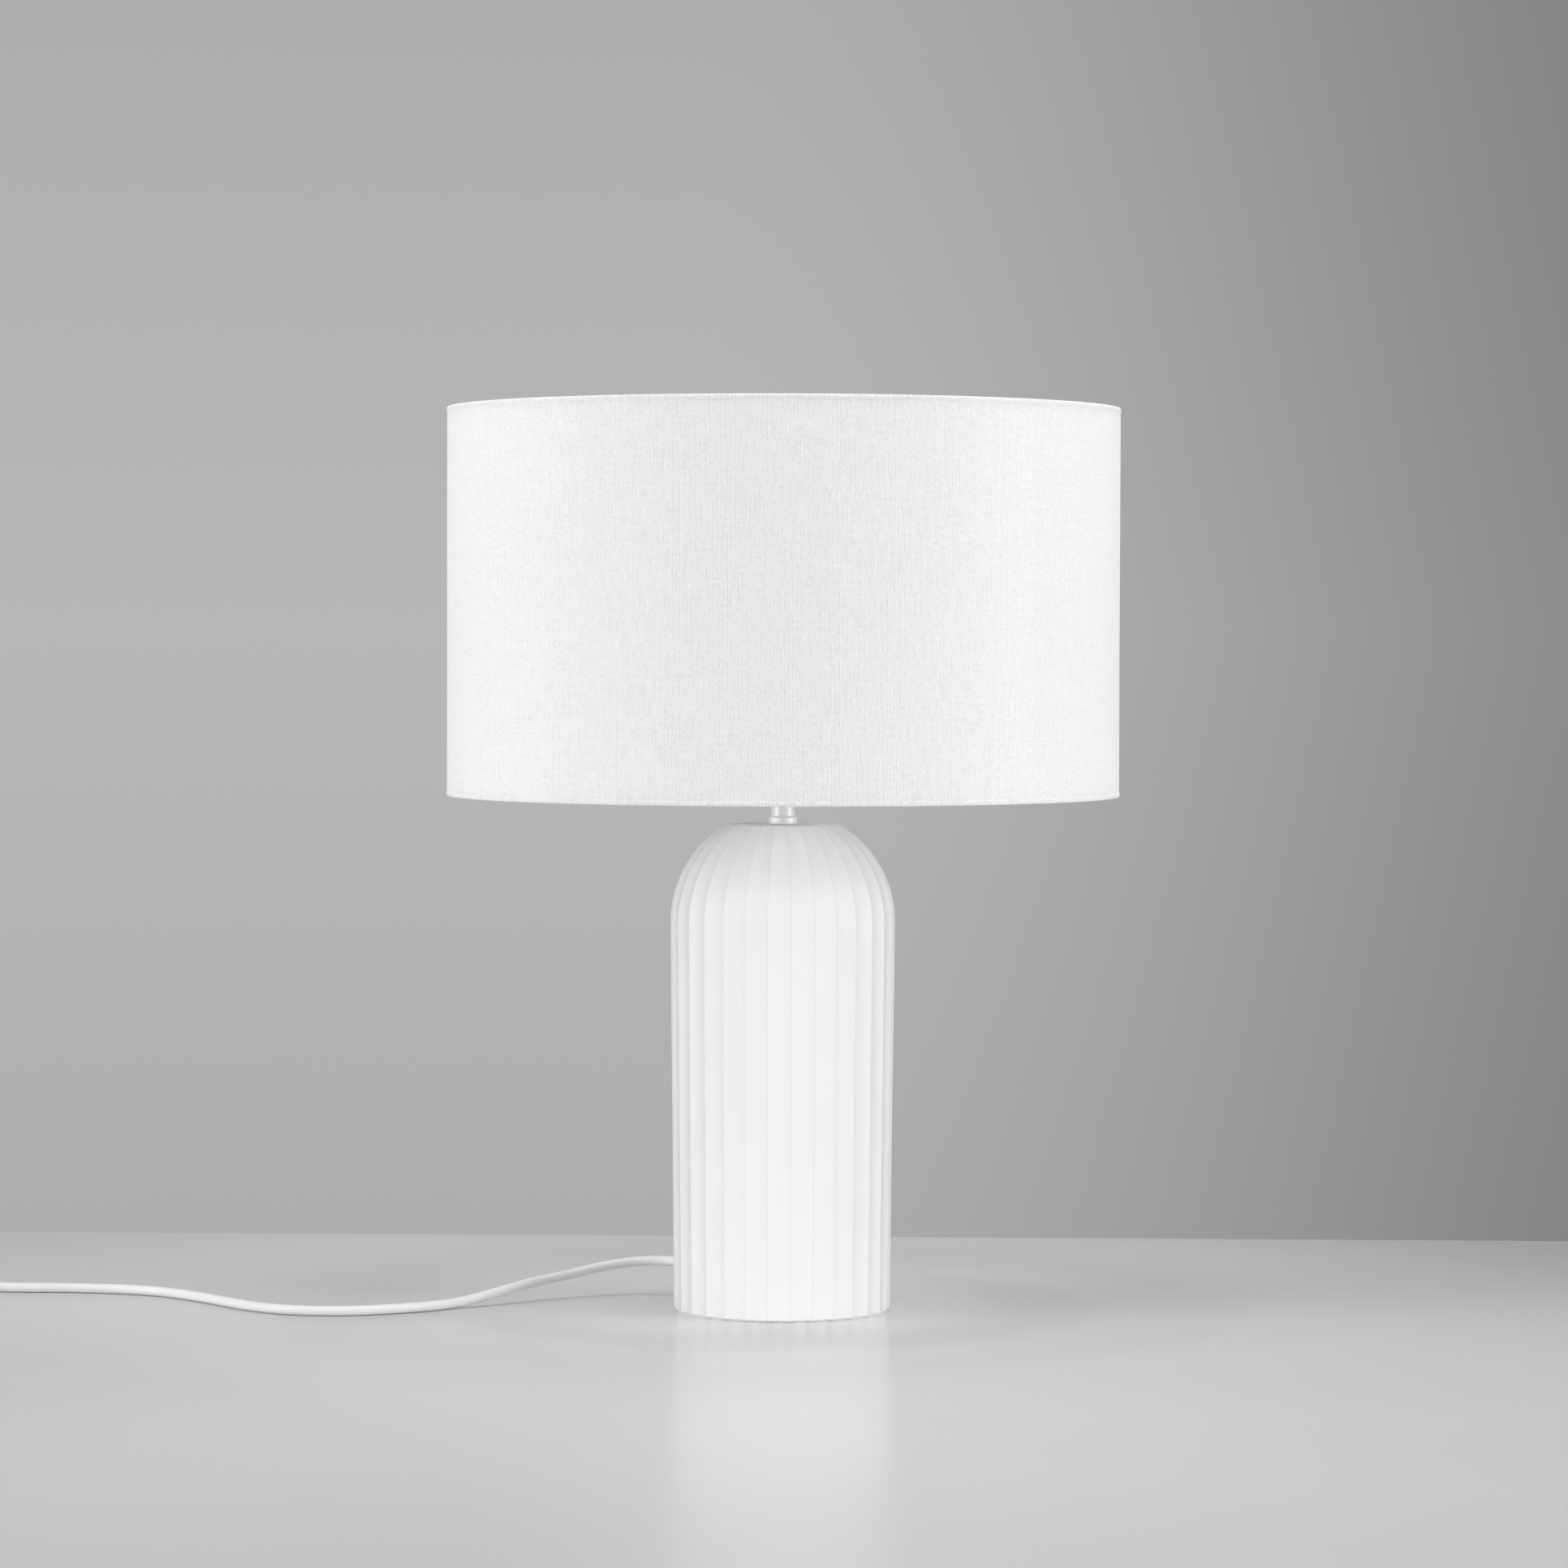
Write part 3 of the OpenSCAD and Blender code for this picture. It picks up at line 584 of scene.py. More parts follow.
foot_z, top_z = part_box("base_body")[0].z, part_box("base_body")[1].z
base_r = cad_radius("base_body")
foot_r = cad_radius("base_body", high=foot_z + 0.1 * MM)
dome_z = top_z - base_r * math.sin(DOME_CUT)
cap_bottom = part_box("top_cap")[0].z
cap_r = cad_radius("top_cap") + 0.1 * MM
washer_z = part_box("clamp_washer")[1].z
WALL = 6 * MM
inner_r = foot_r - WALL
dome_inner_r = base_r - WALL - 0.5 * MM


def ridge_radius(z):
    if z < dome_z:
        return foot_r + (base_r - foot_r) * (z - foot_z) / (dome_z - foot_z)
    return math.sqrt(max(0.0, base_r ** 2 - (z - dome_z) ** 2))


def flute_drop(r, from_ridge):
    """How far the surface lies inside the ridges, a share of a flute away from the nearest one."""
    d = math.sqrt(from_ridge ** 2 + RIDGE_ROUND ** 2)
    return FLUTE_DEPTH * (r / base_r) ** 2 * 4 * d * (1 - d)


def flute_columns():
    """(angle, share of a flute from the nearest ridge) of each column, closer together at ridges."""
    half = STEPS_A_FLUTE // 2
    columns = []
    for flute in range(FLUTES):
        start = FLUTE_TURN + 2 * math.pi * (flute - 0.5) / FLUTES
        for k in range(STEPS_A_FLUTE):
            near = 0.5 * (min(k, STEPS_A_FLUTE - k) / half) ** 1.5
            share = near if k <= half else 1 - near
            columns.append((start + 2 * math.pi * share / FLUTES, near))
    return columns


def base_outline():
    """(ridge radius, height, share of the flutes' depth) up the outside, over the rim and down inside."""
    outline = [(foot_r - 0.5 * MM, foot_z, 1.0), (foot_r - 0.15 * MM, foot_z + 0.05 * MM, 1.0)]
    outline.append((foot_r - 0.02 * MM, foot_z + 0.25 * MM, 1.0))
    first = foot_z + 1.2 * MM
    rows = 26
    for i in range(rows):
        z = first + (dome_z - first) * i / rows
        outline.append((ridge_radius(z), z, 1.0))
    bends = 34
    for i in range(bends + 1):
        angle = DOME_CUT * 0.985 * i / bends
        outline.append((base_r * math.cos(angle), dome_z + base_r * math.sin(angle), 1.0))
    rim_r = base_r * math.cos(DOME_CUT)
    outline += [
        (rim_r + 0.25 * MM, top_z - 0.22 * MM, 1.0),
        (rim_r - 0.25 * MM, top_z - 0.04 * MM, 1.0),
        (rim_r - 0.9 * MM, top_z, 0.8),
        (cap_r + 0.7 * MM, top_z, 0.0),
        (cap_r + 0.2 * MM, top_z - 0.15 * MM, 0.0),
        (cap_r, top_z - 0.6 * MM, 0.0),
        (cap_r, cap_bottom, 0.0),
        (18 * MM, cap_bottom, 0.0),
        (18 * MM, washer_z, 0.0),
    ]
    roof = math.asin((washer_z - dome_z) / dome_inner_r)
    for i in range(9):
        angle = roof * (1 - i / 8)
        outline.append((dome_inner_r * math.cos(angle), dome_z + dome_inner_r * math.sin(angle), 0.0))
    outline += [
        (inner_r, dome_z - 0.5 * MM, 0.0),
        (inner_r, 12.2 * MM, 0.0),
        (inner_r - 3 * MM, 12.2 * MM, 0.0),
        (inner_r - 3 * MM, 4.2 * MM, 0.0),
        (inner_r, 4.2 * MM, 0.0),
        (inner_r, foot_z, 0.0),
    ]
    return outline


def ceramic_base():
    columns = flute_columns()
    rings = []
    for r, z, share in base_outline():
        ring = []
        for angle, near in columns:
            reach = r - flute_drop(r, near) * share
            if share:
                spot = Vector((math.cos(angle) * 2.2, math.sin(angle) * 2.2, z * 14))
                reach += noise.noise(spot) * 0.12 * MM * share
            ring.append((reach * math.cos(angle), reach * math.sin(angle), z))
        rings.append(ring)
    base = loft("fluted_base", rings, join_ends=True, sharp=50)
    # Mask for the painted shade along the ridges in the glaze's colour: 1 at a ridge, 0 midway between
    # ridges.
    level = base.data.attributes.new("ridge", "FLOAT", "POINT")
    for i, v in enumerate(base.data.vertices):
        around = (math.atan2(v.co.y, v.co.x) - FLUTE_TURN) * FLUTES / (2 * math.pi)
        level.data[i].value = (2 * abs(around - round(around))) ** 24
    at = Vector((0, 0, EXIT_HEIGHT))
    recess = cylinder_between("recess", OUTWARD * 62.5 * MM + at, OUTWARD * 80 * MM + at, 8 * MM)
    hole = cylinder_between("hole", OUTWARD * 30 * MM + at, OUTWARD * 70 * MM + at, 5.2 * MM)
    return stand_for(cut(base, [recess, hole], 50), "base_body")


base_piece = ceramic_base()


def neck_ring():
    """Ring round the foot of the tube: upright sides, round corners and a groove against the tube."""
    low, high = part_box("neck_collar")
    r, tube_r, corner = cad_radius("neck_collar"), cad_radius("stem_tube"), 1.25 * MM
    outline = [(5.1 * MM, low.z)]
    for middle, first in ((low.z + corner, -90), (high.z - corner, 0)):
        for k in range(9):
            angle = math.radians(first + 90 * k / 8)
            outline.append((r - corner + corner * math.cos(angle), middle + corner * math.sin(angle)))
    outline += [(tube_r + 0.5 * MM, high.z), (tube_r + 0.4 * MM, high.z - 0.6 * MM)]
    outline += [(tube_r + 0.05 * MM, high.z - 0.6 * MM), (tube_r - 0.1 * MM, high.z), (5.1 * MM, high.z)]
    rings = []
    for reach, z in outline:
        angles = [2 * math.pi * k / 96 for k in range(96)]
        rings.append([(reach * math.cos(a), reach * math.sin(a), z) for a in angles])
    return stand_for(loft("neck_ring", rings, join_ends=True, sharp=40), "neck_collar")


neck_piece = neck_ring()

# ---------- shade ----------

SEAM_TURN = math.radians(90)
OVERLAP = 12 * MM
LEAST_GAP = 0.05 * MM
# How far the film's faces lie inside the CAD lining's outer face, so that its overlap clears the cloth
FILM_INNER_INSET = 0.4 * MM
FILM_OUTER_INSET = 0.25 * MM


def rolled_sheet(name, inner, outer, low, high, columns, rows, waver=0.0):
    """A sheet rolled into a tube, whose end lies over its start in an upright seam."""
    thick = outer - inner
    step_up = thick + LEAST_GAP
    span = 2 * math.pi + OVERLAP / outer
    ramp = 8 * MM / outer
    rings = []
    for i in range(columns + 1):
        turned = span * i / columns
        over = min(1.0, max(0.0, (turned - (2 * math.pi - ramp)) / ramp))
        lift = step_up * over * over * (3 - 2 * over)
        angle = SEAM_TURN + turned
        around = Vector((math.cos(angle), math.sin(angle), 0))
        front = []
        back = []
        for k in range(rows + 1):
            z = low + (high - low) * k / rows
            spot = Vector((around.x * 3, around.y * 3, z * 9))
            ripple = noise.noise(spot) * waver * math.sin(math.pi * k / rows)
            front.append(around * (outer + lift + ripple) + Vector((0, 0, z)))
            back.append(around * (outer + lift + ripple - thick) + Vector((0, 0, z)))
        rings.append(front + back[::-1])
    return loft(name, rings, sharp=60)


fabric_low, fabric_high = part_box("shade_fabric")
fabric_r = cad_radius("shade_fabric")
liner_r = cad_radius("shade_liner")
cloth = rolled_sheet("linen_cover", liner_r, fabric_r, fabric_low.z, fabric_high.z, 360, 24, 0.12 * MM)
stand_for(cloth, "shade_fabric")
film = rolled_sheet("styrene_lining", liner_r - FILM_INNER_INSET, liner_r - FILM_OUTER_INSET,
                    fabric_low.z + 0.1 * MM, fabric_high.z - 0.1 * MM, 300, 6)
stand_for(film, "shade_liner")


def hem_strip(name, node, up):
    """A strip rolled over the edge of the shade, with a soft round fold."""
    low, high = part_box(node)
    edge = low.z if up > 0 else high.z
    outer = cad_radius(node)
    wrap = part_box("bottom_wire")[1].x - 3 * MM - 0.4 * MM
    outline = [
        (outer - 0.3 * MM, 3.0), (outer - 0.12 * MM, 2.9), (outer, 2.5), (outer, 1.0),
        (outer - 0.12 * MM, 0.45), (outer - 0.45 * MM, 0.1), (outer - 1.0 * MM, 0.0),
        (wrap + 0.8 * MM, 0.0), (wrap + 0.2 * MM, 0.2), (wrap, 0.8), (wrap, 4.6),
        (wrap + 0.15 * MM, 5.0), (wrap + 0.3 * MM, 4.6), (wrap + 0.3 * MM, 0.9),
        (wrap + 0.7 * MM, 0.3), (outer - 1.0 * MM, 0.3), (outer - 0.5 * MM, 0.5),
        (outer - 0.3 * MM, 1.0),
    ]
    profile = [(r, edge + up * z * MM) for r, z in outline]
    if up < 0:
        profile.reverse()

    def ripple(r, z, angle):
        return noise.noise(Vector((math.cos(angle) * 9, math.sin(angle) * 9, edge * 7))) * 0.06 * MM

    return stand_for(lathe(name, profile, 360, ripple), node)


bottom_strip = hem_strip("bottom_rolled_hem", "bottom_hem", 1)
top_strip = hem_strip("top_rolled_hem", "top_hem", -1)

# ---------- holder ----------

holder_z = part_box("holder_cap")[0].z
holder_r = cad_radius("holder_cap")
rim_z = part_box("holder_shell")[1].z
shell_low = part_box("holder_shell")[0].z


def thread(pitch, depth, low, high):
    """A round helical thread between two heights, fading out over its ends."""
    def swell(r, z, angle):
        if z < low or z > high:
            return 0.0
        fade = min(1.0, (z - low) / pitch, (high - z) / pitch)
        phase = z / pitch - angle / (2 * math.pi)
        return depth * fade * 0.5 * (1 + math.cos(2 * math.pi * phase))
    return swell


def threaded_sleeve(name, bore, root, low, high, pitch, depth, rows, margin):
    """A tube with a thread on its outside."""
    outline = [(bore, low + 0.3 * MM), (bore + 0.3 * MM, low), (root - 0.3 * MM, low)]
    outline += [(root, low + 0.3 * MM + (high - low - 0.6 * MM) * k / rows) for k in range(rows + 1)]
    outline += [(root - 0.3 * MM, high), (bore + 0.3 * MM, high), (bore, high - 0.3 * MM)]
    cut_thread = thread(pitch, depth, low + margin[0], high - margin[1])

    def swell(r, z, angle):
        return cut_thread(r, z, angle) if r >= root else 0.0

    return lathe(name, outline, 96, swell)


sleeve = threaded_sleeve("holder_sleeve", 15 * MM, holder_r - 0.7 * MM, shell_low + 0.4 * MM, rim_z,
                         2.4 * MM, 0.7 * MM, 170, (3 * MM, 2 * MM))
stand_for(sleeve, "holder_shell")


def grip(r, z, angle):
    """Grip ribs round the widest part of a moulding."""
    if r < holder_r - 0.2 * MM:
        return 0.0
    return -0.35 * MM * (0.5 + 0.5 * math.cos(angle * 40)) ** 3


hood_outline = rounded([
    (5.1 * MM, holder_z), (9 * MM, holder_z), (9.6 * MM, holder_z + 4 * MM),
    (holder_r - 0.6 * MM, holder_z + 15 * MM), (holder_r, holder_z + 17 * MM),
    (holder_r, holder_z + 23.9 * MM), (holder_r - 2 * MM, holder_z + 23.9 * MM),
    (holder_r - 2 * MM, holder_z + 16 * MM), (8 * MM, holder_z + 11 * MM),
    (5.1 * MM, holder_z + 11 * MM),
], 0.9 * MM)
stand_for(lathe("holder_hood", hood_outline, 160, grip), "holder_cap")


def shade_nut(name, node, up):
    """A shade ring: a flange that bears on the fitter and a scalloped grip."""
    low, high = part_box(node)
    face = low.z if up > 0 else high.z
    outline = rounded([
        (holder_r + 0.1 * MM, 0), (27.4 * MM, 0), (27.4 * MM, 1.5 * MM), (24 * MM, 1.7 * MM),
        (24 * MM, 6 * MM), (holder_r + 0.1 * MM, 6 * MM),
    ], 0.5 * MM)
    profile = [(r, face + up * z) for r, z in outline]
    if up < 0:
        profile.reverse()

    def scallop(r, z, angle):
        if not 23 * MM < r < 24.5 * MM or abs(z - face) < 1.8 * MM:
            return 0.0
        return -0.9 * MM * (0.5 - 0.5 * math.cos(angle * 24)) ** 2

    return stand_for(lathe(name, profile, 192, scallop), node)


shade_nut("shade_ring_lower", "lower_shade_nut", -1)
shade_nut("shade_ring_upper", "upper_shade_nut", 1)

# ---------- bulb ----------

glass_low, glass_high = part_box("bulb_glass")
bulb_r = cad_radius("bulb_glass")
globe_z = glass_high.z - bulb_r


def curve_points(a, b, c, steps):
    """Points on a quadratic curve from a to c that leaves and arrives towards b."""
    made = []
    for k in range(steps + 1):
        t = k / steps
        made.append(Vector(a) * (1 - t) ** 2 + Vector(b) * 2 * t * (1 - t) + Vector(c) * t * t)
    return made


def bulb_globe():
    join = math.radians(28)
    neck = (21.6 * MM, glass_low.z)
    meet = (bulb_r * math.cos(join), globe_z - bulb_r * math.sin(join))
    lean = ((meet[0] - neck[0]) * 0.35 + neck[0], neck[1] + (meet[1] - neck[1]) * 0.55)
    outline = [tuple(p) for p in curve_points(neck, lean, meet, 12)][:-1]
    turns = 44
    for k in range(turns + 1):
        angle = -join + (math.pi / 2 + join) * k / turns
        outline.append((bulb_r * math.cos(angle), globe_z + bulb_r * math.sin(angle)))
    inner = [(max(0.0, r - 1 * MM), z if z < globe_z else z - 1 * MM) for r, z in reversed(outline)]
    return stand_for(lathe("bulb_globe", outline + inner, 96), "bulb_glass")


bulb_globe()

collar_low, collar_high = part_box("bulb_housing")
flare = curve_points((14.4 * MM, collar_low.z + 1.2 * MM), (17.5 * MM, collar_low.z + 13 * MM),
                     (21.9 * MM, collar_high.z - 0.9 * MM), 14)
collar_outline = [(11.2 * MM, collar_low.z), (13.6 * MM, collar_low.z)]
collar_outline += [(14.3 * MM, collar_low.z + 0.4 * MM)] + [tuple(p) for p in flare]
collar_outline += [(21.9 * MM, collar_high.z - 0.3 * MM), (21.5 * MM, collar_high.z)]
collar_outline += [(20.2 * MM, collar_high.z), (11.2 * MM, collar_low.z + 4 * MM)]
stand_for(lathe("bulb_collar", collar_outline, 96), "bulb_housing")

screw_low, screw_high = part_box("bulb_screw_cap")
screw = threaded_sleeve("bulb_thread", 11.9 * MM, 12.2 * MM, screw_low.z, screw_high.z,
                        3.62 * MM, 0.9 * MM, 120, (1.5 * MM, 5.5 * MM))
stand_for(screw, "bulb_screw_cap")

# ---------- boot ----------


def cord_boot():
    """Ribbed rubber boot, turned round the lead where it leaves the ceramic."""
    seat = 62.5 * MM
    bore = LEAD_R + 0.04 * MM
    outline = [(bore, seat - 14 * MM), (4.7 * MM, seat - 14 * MM), (4.9 * MM, seat - 13.7 * MM),
               (4.9 * MM, seat), (6.5 * MM, seat), (6.9 * MM, seat + 0.3 * MM),
               (7.0 * MM, seat + 1.2 * MM), (6.7 * MM, seat + 2.1 * MM), (6.0 * MM, seat + 2.5 * MM)]
    start, rib = 3.2 * MM, 2.9 * MM
    for k in range(5):
        at = seat + start + rib * k
        wide = 5.3 * MM - 0.28 * MM * k
        outline += [(wide - 0.9 * MM, at), (wide - 0.15 * MM, at + 0.35 * MM), (wide, at + 0.8 * MM),
                    (wide - 0.15 * MM, at + 1.3 * MM), (wide - 0.9 * MM, at + 1.75 * MM)]
    outline += [(3.75 * MM, seat + 17.2 * MM), (3.6 * MM, seat + 17.8 * MM), (3.3 * MM, seat + 18 * MM),
                (bore, seat + 18 * MM)]
    turn = OUTWARD.to_track_quat("Z", "Y").to_matrix().to_4x4()
    place = Matrix.Translation((0, 0, EXIT_HEIGHT)) @ turn
    return stand_for(lathe("cord_boot", outline, 64, place=place, sharp=50), "lead_bushing")


cord_boot()

# ---------- inline switch ----------

SWITCH_Z = 8 * MM
switch_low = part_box("switch_base")[0]
switch_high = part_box("switch_cover")[1]
switch_mid = (switch_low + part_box("switch_base")[1]) / 2
half_l = (switch_high.x - switch_low.x) / 2
half_w = (switch_high.y - switch_low.y) / 2
CORNER_SIDES = 10


def plate_ring(inset, z, corner=7 * MM):
    """Rounded rectangle round the switch's middle, at a height."""
    ring = []
    corner = max(corner - inset, 0.5 * MM)
    for quarter, (sx, sy) in enumerate([(1, 1), (-1, 1), (-1, -1), (1, -1)]):
        cx = sx * (half_l - inset - corner)
        cy = sy * (half_w - inset - corner)
        for k in range(CORNER_SIDES + 1):
            angle = math.pi / 2 * (quarter + k / CORNER_SIDES)
            ring.append((switch_mid.x + cx + corner * math.cos(angle),
                         switch_mid.y + cy + corner * math.sin(angle), z))
    return ring


def quarter_round(depth, z, way, steps=6):
    """(inset, height) along a rounded edge that ends at height z."""
    made = []
    for k in range(steps + 1):
        angle = math.pi / 2 * k / steps
        made.append((depth * (1 - math.cos(angle)), z - way * depth * (1 - math.sin(angle))))
    return made


def box_mesh(name, low, high):
    corners = [(low[0], low[1]), (high[0], low[1]), (high[0], high[1]), (low[0], high[1])]
    return loft(name, [[(x, y, z) for x, y in corners] for z in (low[2], high[2])])


def lead_bore(name):
    start = Vector((switch_mid.x - 0.06, switch_mid.y, SWITCH_Z))
    return cylinder_between(name, start, start + Vector((0.12, 0, 0)), LEAD_R + 0.1 * MM, 32)


def switch_half(name, levels):
    return loft(name, [plate_ring(inset, z) for inset, z in levels], sharp=40)


def build_switch():
    top = switch_high.z
    seam = SWITCH_Z
    lower_levels = quarter_round(1.2 * MM, switch_low.z, -1)[::-1]
    lower_levels += [(0, seam - 0.4 * MM), (0.25 * MM, seam - 0.1 * MM)]
    lower = switch_half("switch_tray", lower_levels)
    hollow = box_mesh("hollow", (switch_mid.x - 27 * MM, switch_mid.y - 10.5 * MM, 2 * MM),
                      (switch_mid.x + 27 * MM, switch_mid.y + 10.5 * MM, 20 * MM))
    screws = [
        cylinder_between("screw_hole", switch_mid + Vector((s * 24 * MM, s * 6 * MM, -0.02)),
                         switch_mid + Vector((s * 24 * MM, s * 6 * MM, 0.02)), 1.6 * MM)
        for s in (-1, 1)
    ]
    stand_for(cut(lower, [hollow, lead_bore("bore")] + screws), "switch_base")
    upper_levels = [(0.25 * MM, seam + 0.1 * MM), (0, seam + 0.4 * MM)]
    upper_levels += quarter_round(3.2 * MM, top, 1)
    upper = switch_half("switch_lid", upper_levels)
    hollow = box_mesh("hollow", (switch_mid.x - 27 * MM, switch_mid.y - 10.5 * MM, 0),
                      (switch_mid.x + 27 * MM, switch_mid.y + 10.5 * MM, top - 1.4 * MM))
    window = box_mesh("window", (switch_mid.x - 12.3 * MM, switch_mid.y - 7.3 * MM, 0),
                      (switch_mid.x + 12.3 * MM, switch_mid.y + 7.3 * MM, 0.04))
    stand_for(cut(upper, [hollow, window, lead_bore("bore")]), "switch_cover")


build_switch()

ROCKER_TILT = math.radians(8)
pivot = Vector((switch_mid.x, switch_mid.y, 11.5 * MM))


def rocker():
    """A rocker with a dished top and soft edges, lying pressed down at its left end."""
    dish_r, dish_z = 18.6, 22.0
    outline = [(-11.5, 0.2), (-2.6, 0.0), (-1.8, -1.4), (0, -2.3), (1.8, -1.4), (2.6, 0.0), (11.5, 0.2)]
    steps = 16
    for k in range(steps + 1):
        x = 11.5 - 23.0 * k / steps
        dish = dish_z - math.sqrt(dish_r ** 2 - x ** 2) if abs(x) < dish_r else 4.6
        outline.append((x, min(4.55, dish)))
    turn = Matrix.Rotation(-ROCKER_TILT, 4, "Y")
    across = [(-6.6, 0.35), (-6.45, 0.12), (-6.1, 0.0), (6.1, 0.0), (6.45, 0.12), (6.6, 0.35)]
    rings = []
    for y, shrink in across:
        ring = []
        for x, z in outline:
            scale = 1 - shrink / 11.5
            height = 2.2 + (z - 2.2) * (1 - shrink / 3.5)
            ring.append(pivot + turn @ Vector((x * scale * MM, y * MM, height * MM)))
        rings.append(ring)
    return stand_for(loft("rocker_key", rings, sharp=30), "switch_rocker")


rocker()

# ---------- plug ----------

PLUG_LENGTH = 35 * MM
PLUG_PLACE = Matrix.Translation((-0.558, -0.016, 0.0068)) @ Matrix.Rotation(math.radians(-20), 4, "Z")


def section(x, half_y, half_z, power, columns=64):
    """A ring across the plug: a circle at power 2, squarer above it."""
    ring = []
    for k in range(columns):
        angle = 2 * math.pi * k / columns
        c, s = math.cos(angle), math.sin(angle)
        y = half_y * math.copysign(abs(c) ** (2 / power), c)
        z = half_z * math.copysign(abs(s) ** (2 / power), s)
        ring.append(PLUG_PLACE @ Vector((x, y, z)))
    return ring


def plug():
    """Flat two-pin plug: a ribbed neck that widens into a waisted grip."""
    length = PLUG_LENGTH
    rings = [section(0, 3.4 * MM, 3.4 * MM, 2), section(0.2 * MM, 3.9 * MM, 3.9 * MM, 2)]
    neck, ribs, steps = 12.5 * MM, 4, 24
    for k in range(1, steps):
        t = k / steps
        rib = 0.35 * MM * math.sin(math.pi * 2 * ribs * t) * math.sin(math.pi * t) ** 0.5
        r = 4.2 * MM + 1.4 * MM * t + rib
        rings.append(section(neck * t, r, r, 2))
    body = 20
    for k in range(body + 1):
        t = k / body
        ease = t * t * (3 - 2 * t)
        waist = 0.7 * MM * math.sin(math.pi * min(1.0, t * 1.3)) ** 2
        wide = (5.7 + 9.6 * ease ** 0.8) * MM
        tall = (5.6 + 1.15 * min(1.0, t * 2.5)) * MM - waist
        rings.append(section(neck + (length - neck - 0.9 * MM) * t, wide, tall, 2 + 1.6 * ease))
    for inset, x in ((0.15, 0.5), (0.5, 0.15), (1.0, 0.0)):
        rings.append(section(length - x * MM, (15.3 - inset) * MM, (6.75 - inset) * MM, 3.6))
    shell = loft("plug_shell", rings, sharp=50)
    return stand_for(shell, "plug_body")


plug_shell = plug()

# ---------- strap round the coil ----------


def strap():
    """A strap wrapped once round the turns, with its end pressed down over its start."""
    low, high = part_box("coil_tie")
    mid = (low + high) / 2
    thick = 0.9 * MM
    half_x, half_z = (high.x - low.x) / 2 - thick, (high.z - low.z) / 2 - thick
    corner = 5 * MM
    path = []
    for quarter, (sx, sz) in enumerate([(1, 1), (-1, 1), (-1, -1), (1, -1)]):
        for k in range(9):
            angle = math.pi / 2 * (quarter + k / 8)
            path.append(Vector((sx * (half_x - corner) + corner * math.cos(angle), 0,
                                sz * (half_z - corner) + corner * math.sin(angle))))
    path = [path[-1].lerp(path[0], 0.5)] + path + [path[-1].lerp(path[0], 0.55)]
    tail = [p + (p.normalized() * 0.95 * MM) for p in path[1:10]] + [Vector((2 * MM, 0, half_z + 0.9 * MM))]
    path += [path[0] + Vector((0.5 * MM, 0, 3 * MM))] + tail
    half_y = 5 * MM
    # Across the strap: share of its half width, and share of its thickness
    cross = [(-1, 0), (-0.97, 0.5), (-0.9, 1), (0.9, 1), (0.97, 0.5), (1, 0), (0.9, -0.1), (-0.9, -0.1)]
    rings = []
    for i, p in enumerate(path):
        t = (path[min(i + 1, len(path) - 1)] - path[max(i - 1, 0)]).normalized()
        out = Vector((t.z, 0, -t.x))
        ring = []
        for y, o in cross:
            ring.append(mid + p + Vector((0, y * half_y, 0)) + out * thick * o)
        rings.append(ring)
    return stand_for(loft("coil_strap", rings, sharp=60), "coil_tie")


coil_strap = strap()

# ---------- the lead: finish, body and hidden CAD nodes ---

lead.data.materials.append(finishes["lead_cover"])
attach(lead, "base")
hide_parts("lead_run", "lead_link", "lead_coil", "lead_tail")

# ---------- stage and lights ----------

TABLE_BACK = 0.372
TABLE_TURN = math.radians(-1.7)
TABLE_SIZE = (3.2, 2.4, 0.03)


def table_top():
    half_x, deep, thick = TABLE_SIZE[0] / 2, TABLE_SIZE[1], TABLE_SIZE[2]
    edge = 1.5 * MM
    levels = [(0, -thick), (0, -edge), (edge * 0.3, -edge * 0.3), (edge, 0)]
    turn = Matrix.Rotation(TABLE_TURN, 4, "Z")
    rings = []
    for inset, z in levels:
        x, back, front = half_x - inset, -inset, inset - deep
        corners = [(-x, front), (x, front), (x, back), (-x, back)]
        rings.append([
            turn @ Vector((cx, cy, 0)) + Vector((0, TABLE_BACK, z)) for cx, cy in corners
        ])
    return loft("table", rings, sharp=50)


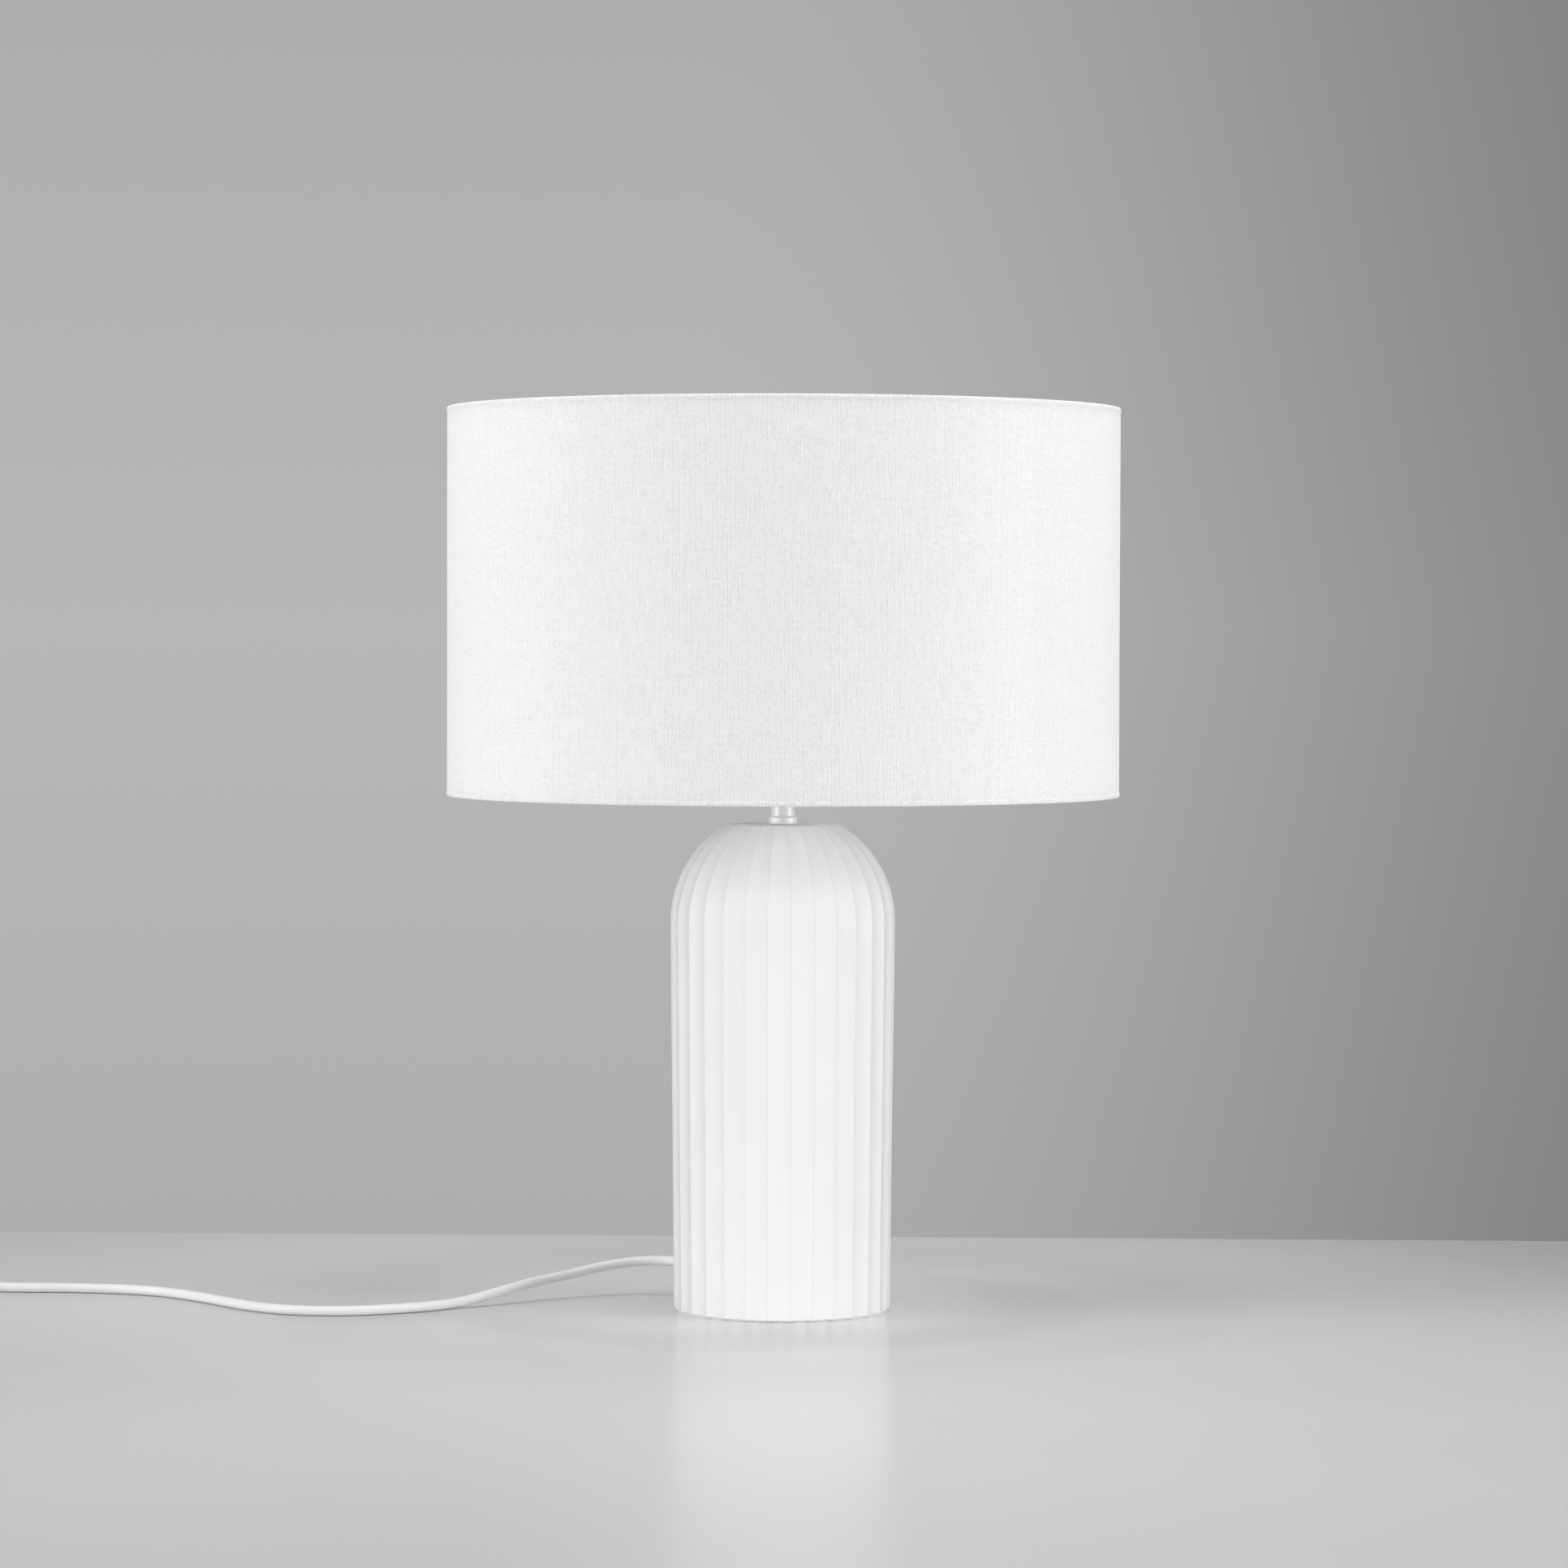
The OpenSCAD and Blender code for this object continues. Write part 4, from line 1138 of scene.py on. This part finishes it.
def table_finish():
    """White lacquer. Its polish varies by place, and its tone carries painted light and shade: a painted
    reflection makes it lighter near the lamp's foot, and painted shade darkens it towards the rear, at the
    rear right and at the front left. Both are adjusted to the retouched photograph.
    """
    f = Finish("table_white", (0.675, 0.675, 0.675), 0.2)
    x, y = f.add("ShaderNodeSeparateXYZ", Vector=f.here()).outputs[:2]
    reach = f.math("SQRT", f.math("ADD", f.math("MULTIPLY", x, x), f.math("MULTIPLY", y, y)))
    haze_and_painted_reflection = f.math("MINIMUM", f.math("MAXIMUM", f.math("MULTIPLY_ADD", reach, 4.5, -0.3), 0.0), 1.0)
    polish = f.math("MULTIPLY_ADD", haze_and_painted_reflection, 0.17, 0.05)
    f.put(f.shader.inputs["Roughness"], f.math("MULTIPLY", polish, f.spread(f.noise(3, 2), 0.9, 1.1)))
    # Masks for painted shade: towards the rear, to the right, and towards the front left.
    painted_rear_shade = f.math("MINIMUM", f.math("MAXIMUM", f.math("MULTIPLY_ADD", y, 1.4, 0.5), 0.0), 1.0)
    right = f.math("MINIMUM", f.math("MAXIMUM", f.math("MULTIPLY_ADD", x, 1.8, -0.1), 0.0), 1.0)
    painted_front_left_shade = f.math("MULTIPLY", f.math("MINIMUM", x, 0.0), f.math("MINIMUM", y, 0.0))
    # Painted light and shade in the tone: up to 12 percent lighter near the lamp's foot as a painted
    # reflection, and darker towards the rear, the rear right and the front left as painted shade.
    tone = f.math("MULTIPLY_ADD", painted_rear_shade, -0.10, f.math("MULTIPLY_ADD", haze_and_painted_reflection, -0.12, 1.12))
    tone = f.math("MULTIPLY_ADD", f.math("MULTIPLY", painted_rear_shade, right), -0.20, tone)
    tone = f.math("MULTIPLY_ADD", f.math("MINIMUM", painted_front_left_shade, 0.1), -0.9, tone)
    f.shade(f.math("MULTIPLY", tone, f.spread(f.noise(2, 2), 0.985, 1.01)))
    f.set(IOR=1.08)
    return f.material


table = table_top()
table.data.materials.append(table_finish())


def soft_light(name, azimuth, distance, height, size, power, aim=0.25):
    """A square softbox at an angle from the front, looking at the lamp."""
    data = bpy.data.lights.new(name, "AREA")
    data.shape = "RECTANGLE"
    data.size, data.size_y = size
    data.energy = power
    light = bpy.data.objects.new(name, data)
    angle = math.radians(azimuth)
    light.location = (distance * math.sin(angle), -distance * math.cos(angle), height)
    toward = Vector((0, 0, aim)) - light.location
    light.rotation_mode = "QUATERNION"
    light.rotation_quaternion = toward.to_track_quat("-Z", "Y")
    light.visible_camera = False
    bpy.context.scene.collection.objects.link(light)
    return light


def lights_only(light, pieces, state="INCLUDE"):
    """Keeps a light to some pieces, or off them, as flags and grids do in a studio."""
    group = bpy.data.collections.new(light.name + "_pieces")
    for piece in pieces:
        group.objects.link(piece)
    for entry in group.collection_objects:
        entry.light_linking.link_state = state
    light.light_linking.receiver_collection = group


soft_light("left_softbox", -68, 4.4, 1.4, (2.7, 2.4), 84, 0.35)
soft_light("right_softbox", 68, 4.4, 1.4, (2.7, 2.4), 84, 0.35)
for name, azimuth, power in (("left_shade_light", -68, 71), ("right_shade_light", 68, 76)):
    shade_light = soft_light(name, azimuth, 4.4, 1.4, (2.7, 2.4), power, 0.35)
    lights_only(shade_light, [base_piece], "EXCLUDE")
soft_light("front_fill", 0, 6.0, 0.9, (2.5, 1.2), 23)
overhead = soft_light("overhead", 40, 0.2, 2.3, (0.8, 0.8), 1.8)
overhead.data.spread = math.radians(50)
base_light = soft_light("base_light", 0, 4.0, 1.4, (3.6, 1.4), 66, 0.2)
lights_only(base_light, [base_piece, nodes["top_cap"]])
for name, azimuth in (("left_neck_light", -65), ("right_neck_light", 65)):
    neck_light = soft_light(name, azimuth, 3.0, 0.6, (1.4, 1.4), 30, 0.3)
    lights_only(neck_light, [neck_piece, nodes["stem_tube"]])


def studio_wall():
    """Grey surroundings, a little darker to the right, above and below."""
    world = bpy.data.worlds.new("studio")
    bpy.context.scene.world = world
    world.use_nodes = True
    tree = world.node_tree
    background = tree.nodes["Background"]

    def compute(operation, a, b, c=0.0):
        made = tree.nodes.new("ShaderNodeMath")
        made.operation = operation
        for socket, value in zip(made.inputs, (a, b, c)):
            if isinstance(value, bpy.types.NodeSocket):
                tree.links.new(value, socket)
            else:
                socket.default_value = value
        return made.outputs[0]

    def eased(value, low, high, start, end):
        made = tree.nodes.new("ShaderNodeMapRange")
        made.interpolation_type = "SMOOTHSTEP"
        tree.links.new(value, made.inputs["Value"])
        for key, setting in (("From Min", low), ("From Max", high), ("To Min", start), ("To Max", end)):
            made.inputs[key].default_value = setting
        return made.outputs["Result"]

    way = tree.nodes.new("ShaderNodeTexCoord").outputs["Generated"]
    split = tree.nodes.new("ShaderNodeSeparateXYZ")
    tree.links.new(way, split.inputs[0])
    dark = eased(split.outputs["X"], -0.02, 0.21, 0.0, 0.25)
    dark = compute("MULTIPLY", dark, eased(split.outputs["X"], 0.26, 0.55, 1.0, 0.0))
    dark = compute("MULTIPLY", dark, eased(split.outputs["Y"], 0.0, 0.6, 0.0, 1.0))
    away = compute("ABSOLUTE", split.outputs["Z"], 0.0)
    fall = compute("MULTIPLY_ADD", compute("MINIMUM", away, 0.15), -1.0, 1.0)
    level = compute("MULTIPLY", compute("SUBTRACT", 0.475, dark), fall)
    grey = tree.nodes.new("ShaderNodeCombineColor")
    for channel in grey.inputs:
        tree.links.new(level, channel)
    tree.links.new(grey.outputs[0], background.inputs["Color"])


studio_wall()
